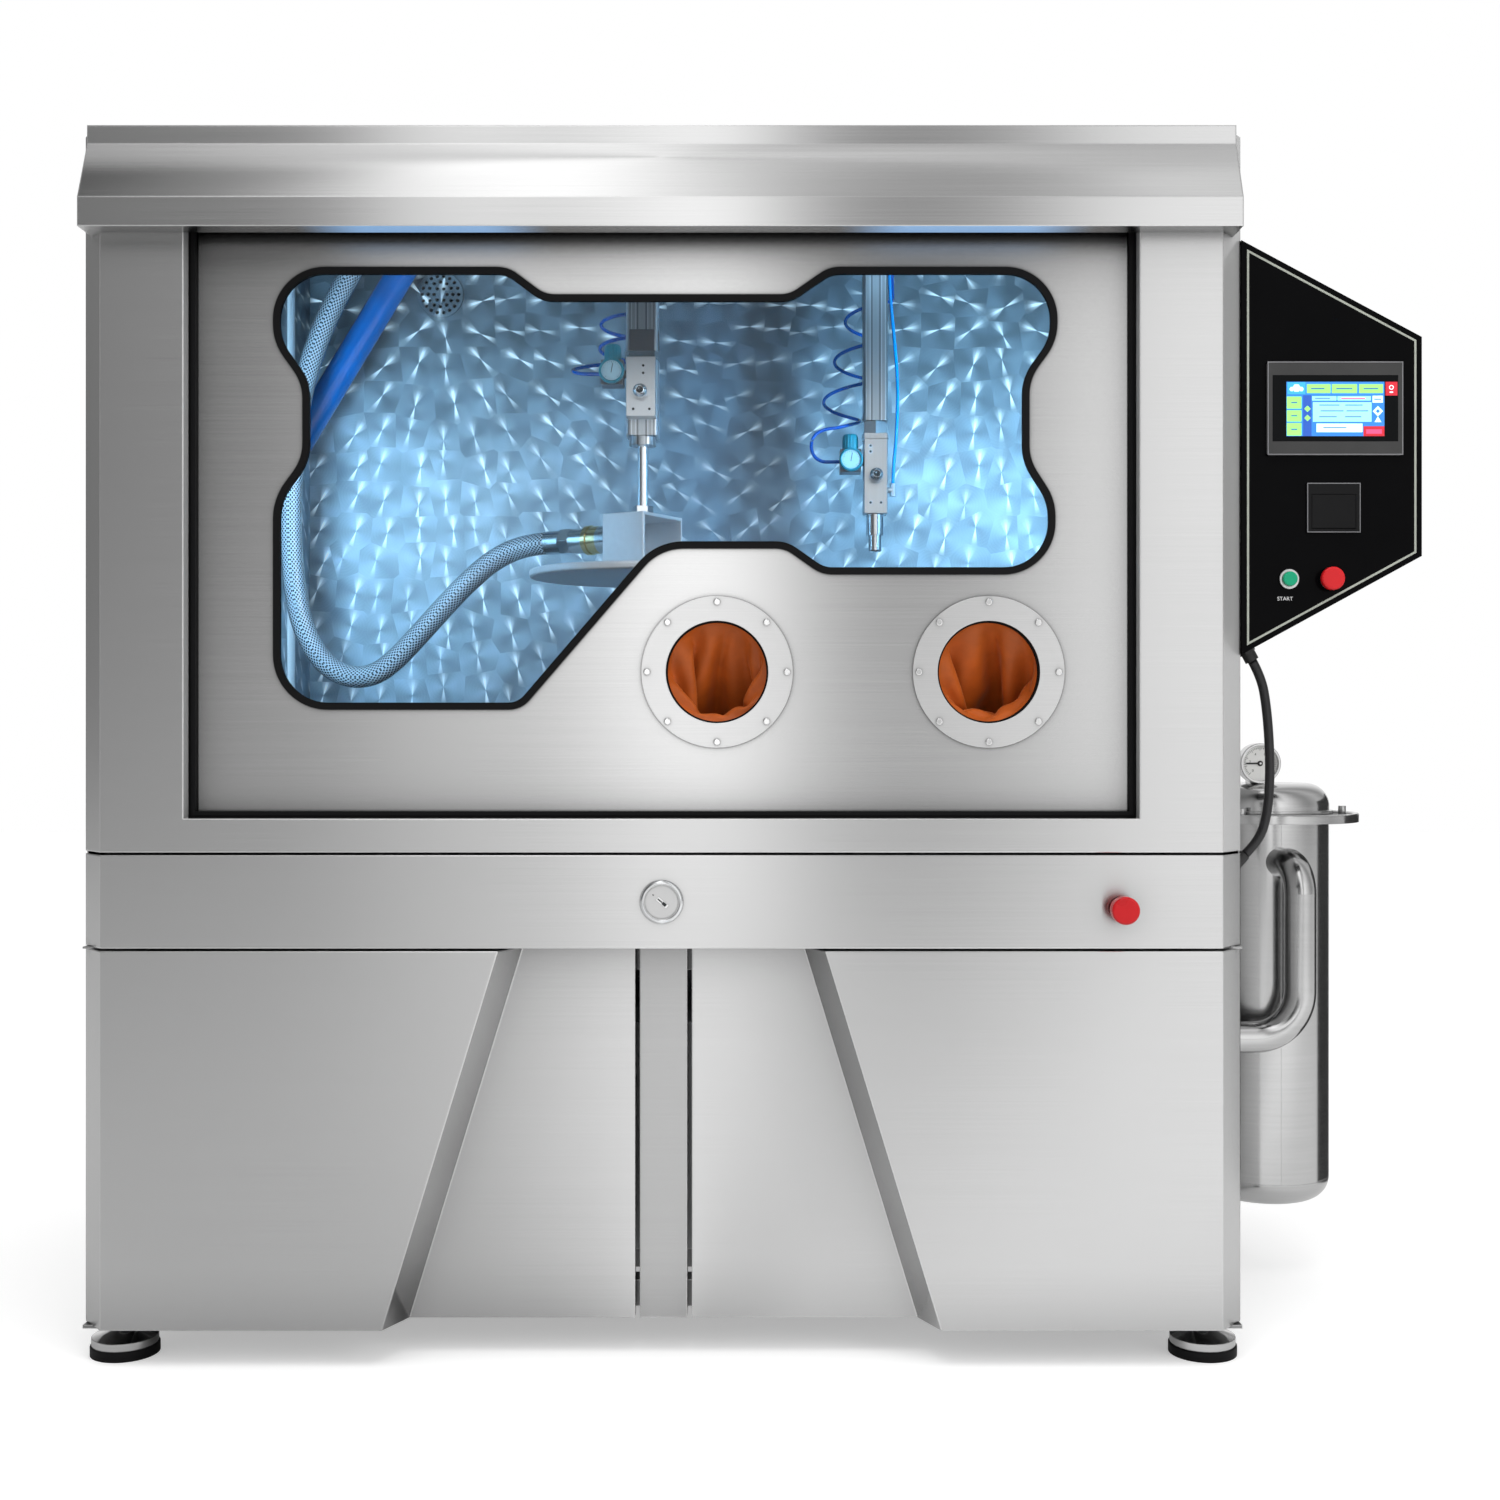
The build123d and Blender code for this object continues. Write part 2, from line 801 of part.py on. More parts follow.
# Lift rods with their pistons and threaded ends
piston_z = lift_floor + slide_gap
with BuildPart() as lift_rods:
    for way in (-1, 1):
        piston_dia = lift_bore - 2 * pin_gap
        column(way * lift_x, lift_y, (piston_z, piston_z + lift_piston), piston_dia)
        column(way * lift_x, lift_y, (piston_z + lift_piston, lug_bottom), lift_rod_dia)
        column(way * lift_x, lift_y, (lug_bottom, lug_top + lug_height / 2), rod_stud_dia)
finish(lift_rods, "lift_rods")

# The window's outline, which the panel's cut-out, the seal and the glass share
with BuildSketch() as window_outline:
    with BuildLine():
        FilletPolyline(
            *[(x, cabinet_height - drop) for x, drop, r in window_corners],
            radius=[r for x, drop, r in window_corners],
            close=True,
        )
    make_face()


# Window outline drawn in by a distance, on the door at a given depth
def window_at(y, inset):
    with BuildSketch(front(y), mode=Mode.PRIVATE) as drawn:
        add(window_outline.sketch)
        if inset:
            offset(amount=-inset, mode=Mode.REPLACE)
    return drawn.sketch


# Door panel: a pan of sheet with the window cut-out, the glove ports and the lift lugs
cuff_hole = port_hole_dia + 2 * cuff_wall + 2 * slide_gap
with BuildPart() as door_panel:
    block((-door_half, door_half), (door_face, door_back), (door_bottom, door_top))
    block(
        (-door_half + sheet, door_half - sheet),
        (door_face + sheet, door_back + sheet),
        (door_bottom + sheet, door_top - sheet),
        mode=Mode.SUBTRACT,
    )
    extrude(window_at(door_face - sheet, seal_grip), amount=-3 * sheet, mode=Mode.SUBTRACT)
    for x in port_x:
        through = (door_face - sheet, door_face + 2 * sheet)
        spindle(x, port_z, through, cuff_hole, mode=Mode.SUBTRACT)
    lug_y = (lift_y - lug_depth / 2, lift_y + lug_depth / 2)
    for way in (-1, 1):
        block((way * door_half, way * (door_half + lug_reach)), lug_y, (lug_bottom, lug_top))
        stud_hole = rod_stud_dia + 2 * weld_gap
        column(way * lift_x, lift_y, (lug_bottom, lug_top), stud_hole, mode=Mode.SUBTRACT)
finish(door_panel, "door_panel")

# Window seal: an H section whose grooves hold the panel's edge and the glass
panel_mid = door_face + sheet / 2
glass_y = (panel_mid - glass / 2, panel_mid + glass / 2)
seal_front = door_face - seal_proud
seal_back = door_face + sheet + seal_proud
with BuildPart() as window_seal:
    extrude(window_at(seal_front, 0), amount=seal_front - seal_back)
    extrude(window_at(seal_front, seal_lip), amount=seal_front - seal_back, mode=Mode.SUBTRACT)
    extrude(
        window_at(glass_y[0], seal_grip + seal_web),
        amount=-glass,
        mode=Mode.SUBTRACT,
    )
    groove = window_at(door_face, -seal_grip) - window_at(door_face, seal_grip)
    extrude(groove, amount=-sheet, mode=Mode.SUBTRACT)
finish(window_seal, "window_seal")

with BuildPart() as window_glass:
    extrude(window_at(glass_y[0], seal_grip + seal_web), amount=-glass)
finish(window_glass, "window_glass")

# Glove port rings with their screws
with BuildPart() as glove_rings:
    for x in port_x:
        ring_y = (door_face - port_ring, door_face)
        spindle(x, port_z, ring_y, port_ring_dia)
        spindle(x, port_z, ring_y, port_hole_dia, mode=Mode.SUBTRACT)
finish(glove_rings, "glove_rings")

with BuildPart() as ring_screws:
    for x in port_x:
        for index in range(port_screws):
            turn = 2 * pi * index / port_screws
            screw_x = x + port_screw_circle / 2 * cos(turn)
            screw_z = port_z + port_screw_circle / 2 * sin(turn)
            head_back = door_face - port_ring
            spindle(screw_x, screw_z, (head_back - screw_head, head_back), screw_head_dia)
    heads = ring_screws.faces().filter_by(Axis.Y).group_by(Axis.Y)[0]
    fillet(heads.edges(), radius=screw_head / 2)
finish(ring_screws, "ring_screws")

# Gloves: a round cuff clamped behind each ring, and a limp sleeve and hand that hang behind it
# Each station: how far back and how high from the port's middle, its tilt, and its two widths over
# the cuff's
cuff_r = port_hole_dia / 2 + cuff_wall
glove_stations = (
    (0.0, 0.0, 0.0, 1.0, 1.0),
    (36.0, 0.0, 0.0, 1.0, 1.0),
    (70.0, -20.0, 32.0, 0.9, 0.92),
    (94.0, -75.0, 70.0, 0.82, 0.62),
    (92.0, -130.0, 88.0, 0.72, 0.42),
    (84.0, -175.0, 95.0, 0.5, 0.26),
)


# One glove's body: sections that go back from the ring and turn downwards
def glove_body(x, wall):
    with BuildPart() as body:
        for back, drop, tip, across, tall in glove_stations:
            heading = (0, cos(radians(tip)), -sin(radians(tip)))
            middle = spot(x, door_face + back, port_z + drop)
            with BuildSketch(Plane(origin=middle, x_dir=(1, 0, 0), z_dir=heading)):
                Ellipse(cuff_r * across - wall, cuff_r * tall - wall)
        loft()
    return body.part


with BuildPart() as gloves:
    for x in port_x:
        add(glove_body(x, 0.0) - glove_body(x, cuff_wall))
finish(gloves, "gloves")

# Chamber walls: back sheet, side sheets and ceiling
chamber_half = opening_half
wall_low = chamber_floor_z + sheet
with BuildPart() as chamber_back_wall:
    wall_z = (wall_low, chamber_ceiling_z)
    block((-chamber_half, chamber_half), (chamber_back, chamber_back + sheet), wall_z)
finish(chamber_back_wall, "chamber_back_wall")

blue_low_x = -chamber_half
blue_run_x = blue_low_x - blue_hose_top[0]
blue_run_z = blue_hose_wall_z - chamber_ceiling_z
with BuildPart() as chamber_walls:
    wall_y = (chamber_front, chamber_back + sheet)
    for way in (-1, 1):
        wall_x = (way * chamber_half, way * (chamber_half + sheet))
        block(wall_x, wall_y, (wall_low, chamber_ceiling_z - weld_gap))
    roof_x = (-chamber_half - sheet, chamber_half + sheet)
    block(roof_x, wall_y, (chamber_ceiling_z, chamber_ceiling_z + sheet))
finish(chamber_walls, "chamber_walls")

# Chamber floor: a pan with a front sill and a drain, and the bar rack that stands in it
rack_top = wall_low + rack_height + rack_bar
with BuildPart() as chamber_floor:
    pan_x = (-chamber_half - sheet, chamber_half + sheet)
    block(pan_x, (chamber_front, chamber_back + sheet), (chamber_floor_z, wall_low))
    sill_x = (-chamber_half + sheet, chamber_half - sheet)
    block(sill_x, (chamber_front, chamber_front + sheet), (wall_low, chamber_floor_z + sill_height))
    column(0, drain_y, (drain_end, wall_low), drain_dia)
    column(0, drain_y, (drain_end, wall_low), drain_dia - 2 * drain_wall, mode=Mode.SUBTRACT)
    rack_half = chamber_half - rack_margin
    rack_y = (chamber_front + sheet + rack_margin, chamber_back - rack_margin)
    for share in bearer_shares:
        y = rack_y[0] + share * (rack_y[1] - rack_y[0])
        bearer_z = (wall_low + weld_gap, wall_low + rack_height)
        block((-rack_half, rack_half), (y - rack_bar / 2, y + rack_bar / 2), bearer_z)
    bars = int(rack_half / rack_pitch)
    for index in range(-bars, bars + 1):
        bar_x = (index * rack_pitch - rack_bar / 2, index * rack_pitch + rack_bar / 2)
        block(bar_x, rack_y, (wall_low + rack_height, rack_top))
finish(chamber_floor, "chamber_floor")

# Light bars under the ceiling, with rounded lens edges
with BuildPart() as light_bars:
    for x in lamp_x:
        lamp_sides = (x - lamp_length / 2, x + lamp_length / 2)
        lamp_span = (lamp_y - lamp_width / 2, lamp_y + lamp_width / 2)
        block(lamp_sides, lamp_span, (chamber_ceiling_z - lamp_height, chamber_ceiling_z))
    fillet(light_bars.edges().filter_by(Axis.X).group_by(Axis.Z)[0], radius=lamp_height / 2)
finish(light_bars, "light_bars")

# Round air vent on the back wall, with rings of holes
with BuildPart() as air_vent:
    vent_y = (chamber_back - vent_thick, chamber_back)
    spindle(vent_x, vent_z, vent_y, vent_dia)
    fillet(air_vent.faces().sort_by(Axis.Y)[0].edges(), radius=vent_thick / 3)
    for radius, count in zip(vent_ring_radii, vent_ring_counts):
        for index in range(count):
            turn = 2 * pi * index / count
            hole_x = vent_x + radius * cos(turn)
            hole_z = vent_z + radius * sin(turn)
            spindle(hole_x, hole_z, vent_y, vent_hole, mode=Mode.SUBTRACT)
finish(air_vent, "air_vent")


# Swivel elbow on the front of a block: a short spigot with a round head
def front_elbow(x, z, face_y):
    spindle(x, z, (face_y - elbow_reach, face_y), elbow_spigot_dia)
    with Locations(spot(x, face_y - elbow_reach, z)):
        Sphere(elbow_dia / 2)


# Air cylinders: a square barrel from the ceiling, its gland and its valve block
press_block_y = press_y - press_barrel / 2 - press_block_depth
with BuildPart() as air_cylinders:
    half = press_barrel / 2
    with BuildSketch(level(press_barrel_end)):
        with Locations((press_x, press_y)):
            RectangleRounded(press_barrel, press_barrel, press_barrel / 8)
    extrude(amount=chamber_ceiling_z - press_barrel_end)
    column(press_x, press_y, (press_gland_end, press_barrel_end), press_gland_dia)
    half_block = press_block_width / 2
    block(
        (press_x - half_block, press_x + half_block),
        (press_block_y, press_y - half),
        (press_block_bottom, press_block_top),
    )
    front_elbow(press_x, press_elbow_z, press_block_y)
    bore_z = (
        press_piston_z - press_down - piston_stop,
        press_piston_z + press_piston + press_up + piston_stop,
    )
    column(press_x, press_y, bore_z, press_bore, mode=Mode.SUBTRACT)
    rod_hole = press_rod_dia + 2 * pin_gap
    column(press_x, press_y, (press_gland_end, bore_z[0]), rod_hole, mode=Mode.SUBTRACT)

    with BuildSketch(level(spray_barrel_end)):
        with Locations((spray_x, spray_y)):
            RectangleRounded(spray_barrel, spray_barrel, spray_barrel / 8)
    extrude(amount=chamber_ceiling_z - spray_barrel_end)
    column(spray_x, spray_y, (spray_block_top, spray_barrel_end), spray_neck_dia)
    half = spray_block / 2
    block(
        (spray_x - half, spray_x + half),
        (spray_y - half, spray_y + half),
        (spray_block_bottom, spray_block_top),
    )
    front_elbow(spray_x, (spray_block_bottom + spray_block_top) / 2, spray_y - half)
    port_top = spray_port_z
    port_mid = spray_x + half + elbow_dia / 2
    axle(spray_y, port_top - elbow_dia / 2, (spray_x, port_mid), elbow_dia / 2)
    column(port_mid, spray_y, (port_top - elbow_dia, port_top), elbow_dia / 2)
    bore_z = (
        spray_piston_z - spray_travel - piston_stop,
        spray_piston_z + spray_piston + piston_stop,
    )
    column(spray_x, spray_y, bore_z, spray_bore, mode=Mode.SUBTRACT)
    rod_hole = spray_rod_dia + 2 * pin_gap
    column(spray_x, spray_y, (spray_block_bottom, bore_z[0]), rod_hole, mode=Mode.SUBTRACT)
finish(air_cylinders, "air_cylinders")

# Press rod: piston, rod and hexagon nut
with BuildPart() as press_rod:
    column(
        press_x,
        press_y,
        (press_piston_z, press_piston_z + press_piston),
        press_bore - 2 * pin_gap,
    )
    column(press_x, press_y, (fixture_top + press_nut_height, press_piston_z), press_rod_dia)
    with BuildSketch(level(fixture_top)):
        with Locations((press_x, press_y)):
            RegularPolygon(press_nut / 2, 6, major_radius=False)
    extrude(amount=press_nut_height)
finish(press_rod, "press_rod")

# Press fixture: a channel, open below and turned about the rod, over the round press plate
with BuildPart() as press_fixture:
    turned = Plane(origin=spot(press_x, press_y, 0)).rotated((0, 0, fixture_turn))
    channel_height = fixture_top - plate_top
    with BuildSketch(turned.offset(plate_top)):
        Rectangle(fixture_length, fixture_width)
    extrude(amount=channel_height)
    fillet(press_fixture.edges().filter_by(Axis.Z), radius=fixture_wall / 2)
    with BuildSketch(turned.offset(plate_top)):
        with Locations((fixture_wall / 2, 0)):
            Rectangle(fixture_length + fixture_wall, fixture_width - 2 * fixture_wall)
    extrude(amount=channel_height - fixture_wall, mode=Mode.SUBTRACT)
    with BuildSketch(turned.offset(plate_top)):
        with Locations((-fixture_length / 2 + fixture_wall / 2, 0)):
            Rectangle(fixture_wall, fixture_width - fixture_wall)
    extrude(amount=channel_height - fixture_wall / 2)
    column(press_x, press_y, (plate_top - plate_thick, plate_top), plate_dia)
    rim = press_fixture.edges().filter_by(GeomType.CIRCLE).sort_by(Edge.length)[-2:]
    fillet(rim, radius=plate_thick / 3)
finish(press_fixture, "press_fixture")

# Hose coupling: a stepped brass fitting and a ferrule on the fixture's end plate
coupling_dir = Vector(-cos(radians(fixture_turn)), -sin(radians(fixture_turn)), 0)
coupling_start = Vector(spot(press_x, press_y, coupling_z)) + coupling_dir * (fixture_length / 2)
coupling_end = coupling_start + coupling_dir * (coupling_length + ferrule_length)
coupling_steps = (
    (0.00, 0.16, 0.74),
    (0.16, 0.62, 1.00),
    (0.62, 0.70, 1.08),
    (0.70, 1.00, 0.92),
)
with BuildPart() as hose_coupling:
    for low, high, share in coupling_steps:
        base = coupling_start + coupling_dir * (low * coupling_length)
        with BuildSketch(Plane(origin=base, z_dir=coupling_dir)):
            Circle(coupling_dia * share / 2)
        extrude(amount=(high - low) * coupling_length)
    base = coupling_start + coupling_dir * coupling_length
    with BuildSketch(Plane(origin=base, z_dir=coupling_dir)):
        RegularPolygon(ferrule_dia / 2, 6, major_radius=False)
    extrude(amount=ferrule_nut)
    base = base + coupling_dir * ferrule_nut
    with BuildSketch(Plane(origin=base, z_dir=coupling_dir)):
        Circle(ferrule_dia / 2)
    extrude(amount=ferrule_length - ferrule_nut)
finish(hose_coupling, "hose_coupling")

# Spray nozzle on its rod and piston
nozzle_top = spray_block_bottom - slide_gap
with BuildPart() as spray_nozzle:
    column(spray_x, spray_y, (nozzle_end, nozzle_top), nozzle_dia)
    column(spray_x, spray_y, (tip_end, nozzle_end), tip_dia)
    fillet(spray_nozzle.edges().group_by(Axis.Z)[0], radius=(tip_dia - tip_bore) / 6)
    column(spray_x, spray_y, (tip_end, nozzle_end), tip_bore, mode=Mode.SUBTRACT)
    column(spray_x, spray_y, (nozzle_top, spray_piston_z), spray_rod_dia)
    piston_range = (spray_piston_z, spray_piston_z + spray_piston)
    column(spray_x, spray_y, piston_range, spray_bore - 2 * pin_gap)
finish(spray_nozzle, "spray_nozzle")

# Regulators: a body with a small gauge, joined to the head's block by a nipple, and its knob
press_regulator_x = press_x - press_block_width / 2 - regulator_nipple - regulator_body / 2
press_regulator_y = press_block_y + press_block_depth / 2
spray_regulator_x = spray_x - spray_block / 2 - regulator_nipple - regulator_body / 2
regulator_places = (
    (press_regulator_x, press_regulator_y, press_regulator_z),
    (spray_regulator_x, spray_y, spray_regulator_z),
)
with BuildPart() as regulators:
    for x, y, z in regulator_places:
        half = regulator_body / 2
        tall = (z - regulator_height / 2, z + regulator_height / 2)
        block((x - half, x + half), (y - half, y + half), tall)
        axle(y, z, (x + half, x + half + regulator_nipple), regulator_nipple_dia)
        spindle(x, z, (y - half - regulator_gauge, y - half), regulator_gauge_dia)
        column(x, y, (tall[1], tall[1] + regulator_stem), regulator_stem_dia)
finish(regulators, "regulators")

for name, (x, y, z) in zip(("press_regulator_knob", "spray_regulator_knob"), regulator_places):
    with BuildPart() as knob:
        knob_low = z + regulator_height / 2 + slide_gap
        column(x, y, (knob_low, knob_low + knob_height), knob_dia)
        fillet(knob.edges().group_by(Axis.Z)[-1], radius=knob_dia / 8)
        socket = (knob_low, z + regulator_height / 2 + regulator_stem + slide_gap)
        column(x, y, socket, regulator_stem_dia + 2 * pin_gap, mode=Mode.SUBTRACT)
    finish(knob, name)


# Two arcs that join one point and heading to the next with no corner
def biarc(start, heading, end, end_heading):
    gap = end - start
    both = heading + end_heading
    a = both.dot(both) - 4
    b = -2 * gap.dot(both)
    c = gap.dot(gap)
    if abs(a) < 1e-9:
        reach = -c / b
    else:
        reach = (-b - (b * b - 4 * a * c) ** 0.5) / (2 * a)
    first = start + heading * reach
    second = end - end_heading * reach
    middle = (first + second) * 0.5
    TangentArc(start, middle, tangent=heading)
    TangentArc(middle, end, tangent=second - first)


# Stations of a loose coil: quarter turns about a slanting axis, from its right side by the front to
# the left, each a point and a heading
def coil_stations(top, bottom, radius, turns):
    count = int(round(4 * turns))
    stations = []
    fall = (bottom - top) * (1 / (2 * pi * turns))
    for index in range(count + 1):
        angle = -index * pi / 2
        middle = top + (bottom - top) * (index / count)
        around = Vector(cos(angle), sin(angle), 0) * radius
        heading = Vector(sin(angle), -cos(angle), 0) * radius + fall
        stations.append((middle + around, heading.normalized()))
    return stations


# Least gap between stretches of one tube that are more than a half coil apart along it
def self_gap(line, dia, apart):
    steps = 400
    points = [line @ (index / steps) for index in range(steps + 1)]
    pitch = line.length / steps
    skip = int(apart / pitch)
    least = min(
        (points[a] - points[b]).length
        for a in range(steps + 1)
        for b in range(a + skip, steps + 1)
    )
    return least - dia


# Tube along straight ends and a coil between them
def coil_tube(name, entry, stations, leave, dia, coil_radius):
    with BuildPart() as piece:
        with BuildLine() as line:
            Line(entry[0], entry[1])
            here, heading = entry[1], (entry[1] - entry[0]).normalized()
            for place, way in stations:
                biarc(here, heading, place, way)
                here, heading = place, way
            last = (leave[1] - leave[0]).normalized()
            biarc(here, heading, leave[0], last)
            Line(leave[0], leave[1])
        with BuildSketch(Plane(origin=line.line @ 0, z_dir=line.line % 0)):
            Circle(dia / 2)
        sweep()
    path = line.wire()
    gap = self_gap(path, dia, coil_radius * pi)
    full = pi * dia * dia / 4 * path.length
    print(name, "least self gap", round(gap, 2), "volume share", round(piece.part.volume / full, 4))
    return piece.part


# Coiled air lines from the ceiling to the regulators, and the straight line of the spray head
press_coil_top = Vector(
    spot(press_regulator_x, press_y + press_barrel / 2 + press_coil_back, press_coil_z[0])
)
spray_coil_top = Vector(
    spot(spray_x, spray_y + spray_barrel / 2 + spray_coil_back, spray_coil_z[0])
)
press_in = Vector(spot(press_regulator_x - regulator_body / 2, press_regulator_y, press_regulator_z))
spray_in = Vector(spot(spray_regulator_x - regulator_body / 2, spray_y, spray_regulator_z))
coils = (
    ("press coil", press_coil_top, press_coil_z, press_coil_lean, press_coil_r, press_coil_turns),
    ("spray coil", spray_coil_top, spray_coil_z, spray_coil_lean, spray_coil_r, spray_coil_turns),
)
coil_ends = ((press_coil_drop_z, press_in), (spray_coil_drop_z, spray_in))
with BuildPart() as air_lines:
    for (name, top, heights, lean, radius, turns), (drop_z, port) in zip(coils, coil_ends):
        bottom = top + Vector(lean[0], lean[1], heights[1] - heights[0])
        stations = coil_stations(top, bottom, radius, turns)
        drop = Vector(top.X + radius, top.Y + radius / 2, drop_z)
        entry = (Vector(drop.X, drop.Y, chamber_ceiling_z), drop)
        leave = (port - Vector(air_tube_straight, 0, 0), port)
        add(coil_tube(name, entry, stations, leave, air_tube_dia, radius))

    port = Vector(spot(port_mid, spray_y, port_top))
    places = [Vector(spot(port_mid + x, spray_y + y, z)) for x, y, z in spray_line_route]
    over = places + [port]
    stations = []
    for before, here, after in zip(over, over[1:], over[2:]):
        stations.append((here, (after - before).normalized()))
    entry = (Vector(places[0].X, places[0].Y, chamber_ceiling_z), places[0])
    leave = (port + Vector(0, 0, air_tube_straight), port)
    add(coil_tube("spray line", entry, stations, leave, air_tube_dia, spray_coil_r))
finish(air_lines, "air_lines")

# Blue hose: straight from the ceiling to the left wall, trimmed flush with both
with BuildPart() as blue_hose:
    hose_heading = Vector(blue_run_x, 0, blue_run_z).normalized()
    hose_start = Vector(spot(blue_hose_top[0], blue_hose_top[1], chamber_ceiling_z))
    over = hose_heading * (blue_hose_dia * 2)
    hose_length = hypot(blue_run_x, blue_run_z) + 4 * blue_hose_dia
    with BuildSketch(Plane(origin=hose_start - over, z_dir=hose_heading)):
        Circle(blue_hose_dia / 2)
        Circle(blue_hose_bore / 2, mode=Mode.SUBTRACT)
    extrude(amount=hose_length)
    reach = blue_hose_dia * 5
    block(
        (-chamber_half - reach, -chamber_half + weld_gap),
        (blue_hose_top[1] - blue_hose_dia, blue_hose_top[1] + blue_hose_dia),
        (chamber_floor_z, chamber_ceiling_z + reach),
        mode=Mode.SUBTRACT,
    )
    block(
        (-chamber_half, blue_hose_top[0] + reach),
        (blue_hose_top[1] - blue_hose_dia, blue_hose_top[1] + blue_hose_dia),
        (chamber_ceiling_z - weld_gap, chamber_ceiling_z + reach),
        mode=Mode.SUBTRACT,
    )
finish(blue_hose, "blue_hose")


# Largest arc at each corner of a route: 0.45 of the shorter run over the tangent of half the turn
def bend_radii(points):
    radii = []
    for before, here, after in zip(points, points[1:], points[2:]):
        came = here - before
        goes = after - here
        turn = radians(came.get_angle(goes))
        radii.append(0.45 * min(came.length, goes.length) / tan(turn / 2))
    return radii


# Plain tube along a route of straight runs and tangent arcs, cut level at the ceiling
def route_tube(name, points, dia):
    radii = bend_radii(points)
    with BuildPart() as piece:
        with BuildLine() as line:
            FilletPolyline(*points, radius=radii)
        with BuildSketch(Plane(origin=line.line @ 0, z_dir=line.line % 0)):
            Circle(dia / 2)
        sweep()
        over_z = (chamber_ceiling_z, cabinet_height + dia)
        span = (-half_width, half_width)
        block(span, (0, cabinet_depth), over_z, mode=Mode.SUBTRACT)
    path = line.wire()
    full = pi * dia * dia / 4 * path.length
    print(name, "length", round(path.length, 1), "radii", [round(r) for r in radii])
    print(name, "volume over section times length", round(piece.part.volume / full, 4))
    return piece


# Clear process hose: from the ceiling down the left wall, round a low loop and up to the coupling
hose_route = (
    (-520.0, 508.0, cabinet_height),
    (-556.0, 509.0, 1726.0),
    (-590.0, 510.0, 1668.0),
    (-619.0, 511.0, 1604.0),
    (-642.0, 512.0, 1535.0),
    (-657.0, 512.0, 1460.0),
    (-665.0, 512.0, 1385.0),
    (-668.0, 512.0, 1310.0),
    (-667.0, 512.0, 1250.0),
    (-663.0, 512.0, 1195.0),
    (-657.0, 512.0, 1148.0),
    (-646.0, 512.0, 1104.0),
    (-627.0, 512.0, 1063.0),
    (-598.0, 511.0, 1030.0),
    (-560.0, 510.0, 1014.0),
    (-519.0, 508.0, 1020.0),
    (-484.0, 506.0, 1046.0),
    (-448.0, 504.0, 1084.0),
    (-406.0, 501.0, 1130.0),
    (-360.0, 496.0, 1178.0),
    (-311.0, 489.0, 1219.0),
)
hose_points = [Vector(spot(*place)) for place in hose_route]
hose_points += [coupling_end + coupling_dir * hose_lead, coupling_end]
process_hose = route_tube("process hose", hose_points, hose_dia)
finish(process_hose, "process_hose")

# Tank with an opening for the drain, and the pump with its motor and suction pipe
with BuildPart() as water_tank:
    block(tank_x, tank_y, (base_top, tank_top))
    block(
        (tank_x[0] + tank_wall, tank_x[1] - tank_wall),
        (tank_y[0] + tank_wall, tank_y[1] - tank_wall),
        (base_top + tank_wall, tank_top - tank_wall),
        mode=Mode.SUBTRACT,
    )
    drain_hole = drain_dia + 4 * slide_gap
    column(0, drain_y, (base_top + tank_wall, tank_top), drain_hole, mode=Mode.SUBTRACT)
    tank_port = (tank_x[1] - 2 * tank_wall, tank_x[1])
    pump_axis_z = base_top + motor_rise + motor_dia / 2
    axle(pump_y, pump_axis_z, tank_port, pump_pipe_dia, mode=Mode.SUBTRACT)
finish(water_tank, "water_tank")

with BuildPart() as pump_set:
    pump_sides = (pump_y - pump_size / 2, pump_y + pump_size / 2)
    pump_range = (base_top, pump_axis_z + pump_size / 2)
    block((pump_x, pump_x + pump_head), pump_sides, pump_range)
    axle(pump_y, pump_axis_z, (tank_x[1] + weld_gap, pump_x), pump_pipe_dia)
    motor_end = pump_x + pump_head + motor_length
    axle(pump_y, pump_axis_z, (pump_x + pump_head, motor_end), motor_dia)
    foot_run = (pump_x + pump_head, motor_end - tube)
    block(foot_run, pump_sides, (base_top, base_top + motor_foot))
    cross = cross_rail_y[0]
    block((pump_x, motor_end), (cross, pump_sides[1]), (base_top, base_top + pump_base))
finish(pump_set, "pump_set")

# Centre post between the lower doors
with BuildPart() as centre_post:
    post_y = (recess_depth, post_front - weld_gap)
    post_z = (ground_gap, band_bottom - seam / 2)
    block((-post_half, post_half), post_y, post_z)
    block(
        (-post_half + sheet, post_half - sheet),
        (recess_depth + sheet, post_front),
        (ground_gap + sheet, post_z[1] - sheet),
        mode=Mode.SUBTRACT,
    )
finish(centre_post, "centre_post")

# Levelling feet: rubber pads, and steel caps with their threaded stems
foot_places = [(way * foot_x, y) for way in (-1, 1) for y in (foot_front_y, foot_rear_y)]
with BuildPart() as foot_pads:
    for x, y in foot_places:
        column(x, y, (0, foot_pad), foot_dia)
    fillet(foot_pads.edges().group_by(Axis.Z)[-1], radius=foot_pad / 6)
finish(foot_pads, "foot_pads")

cap_top = foot_pad + foot_cap
stem_top = base_top - weld_gap
cap_dia = foot_dia - 2 * sheet
foot_profile = (
    (0, foot_pad),
    (cap_dia / 2, foot_pad),
    (cap_dia / 2, cap_top),
    (foot_neck_dia / 2, cap_top + foot_cone),
    (stem_dia / 2, cap_top + foot_cone),
    (stem_dia / 2, stem_top),
    (0, stem_top),
)
with BuildPart() as foot_stems:
    for x, y in foot_places:
        middle = Plane(origin=spot(x, y, 0), x_dir=(1, 0, 0), z_dir=(0, -1, 0))
        with BuildSketch(middle):
            with BuildLine():
                Polyline(*foot_profile, close=True)
            make_face()
        revolve(axis=Axis(spot(x, y, 0), (0, 0, 1)))
finish(foot_stems, "foot_stems")

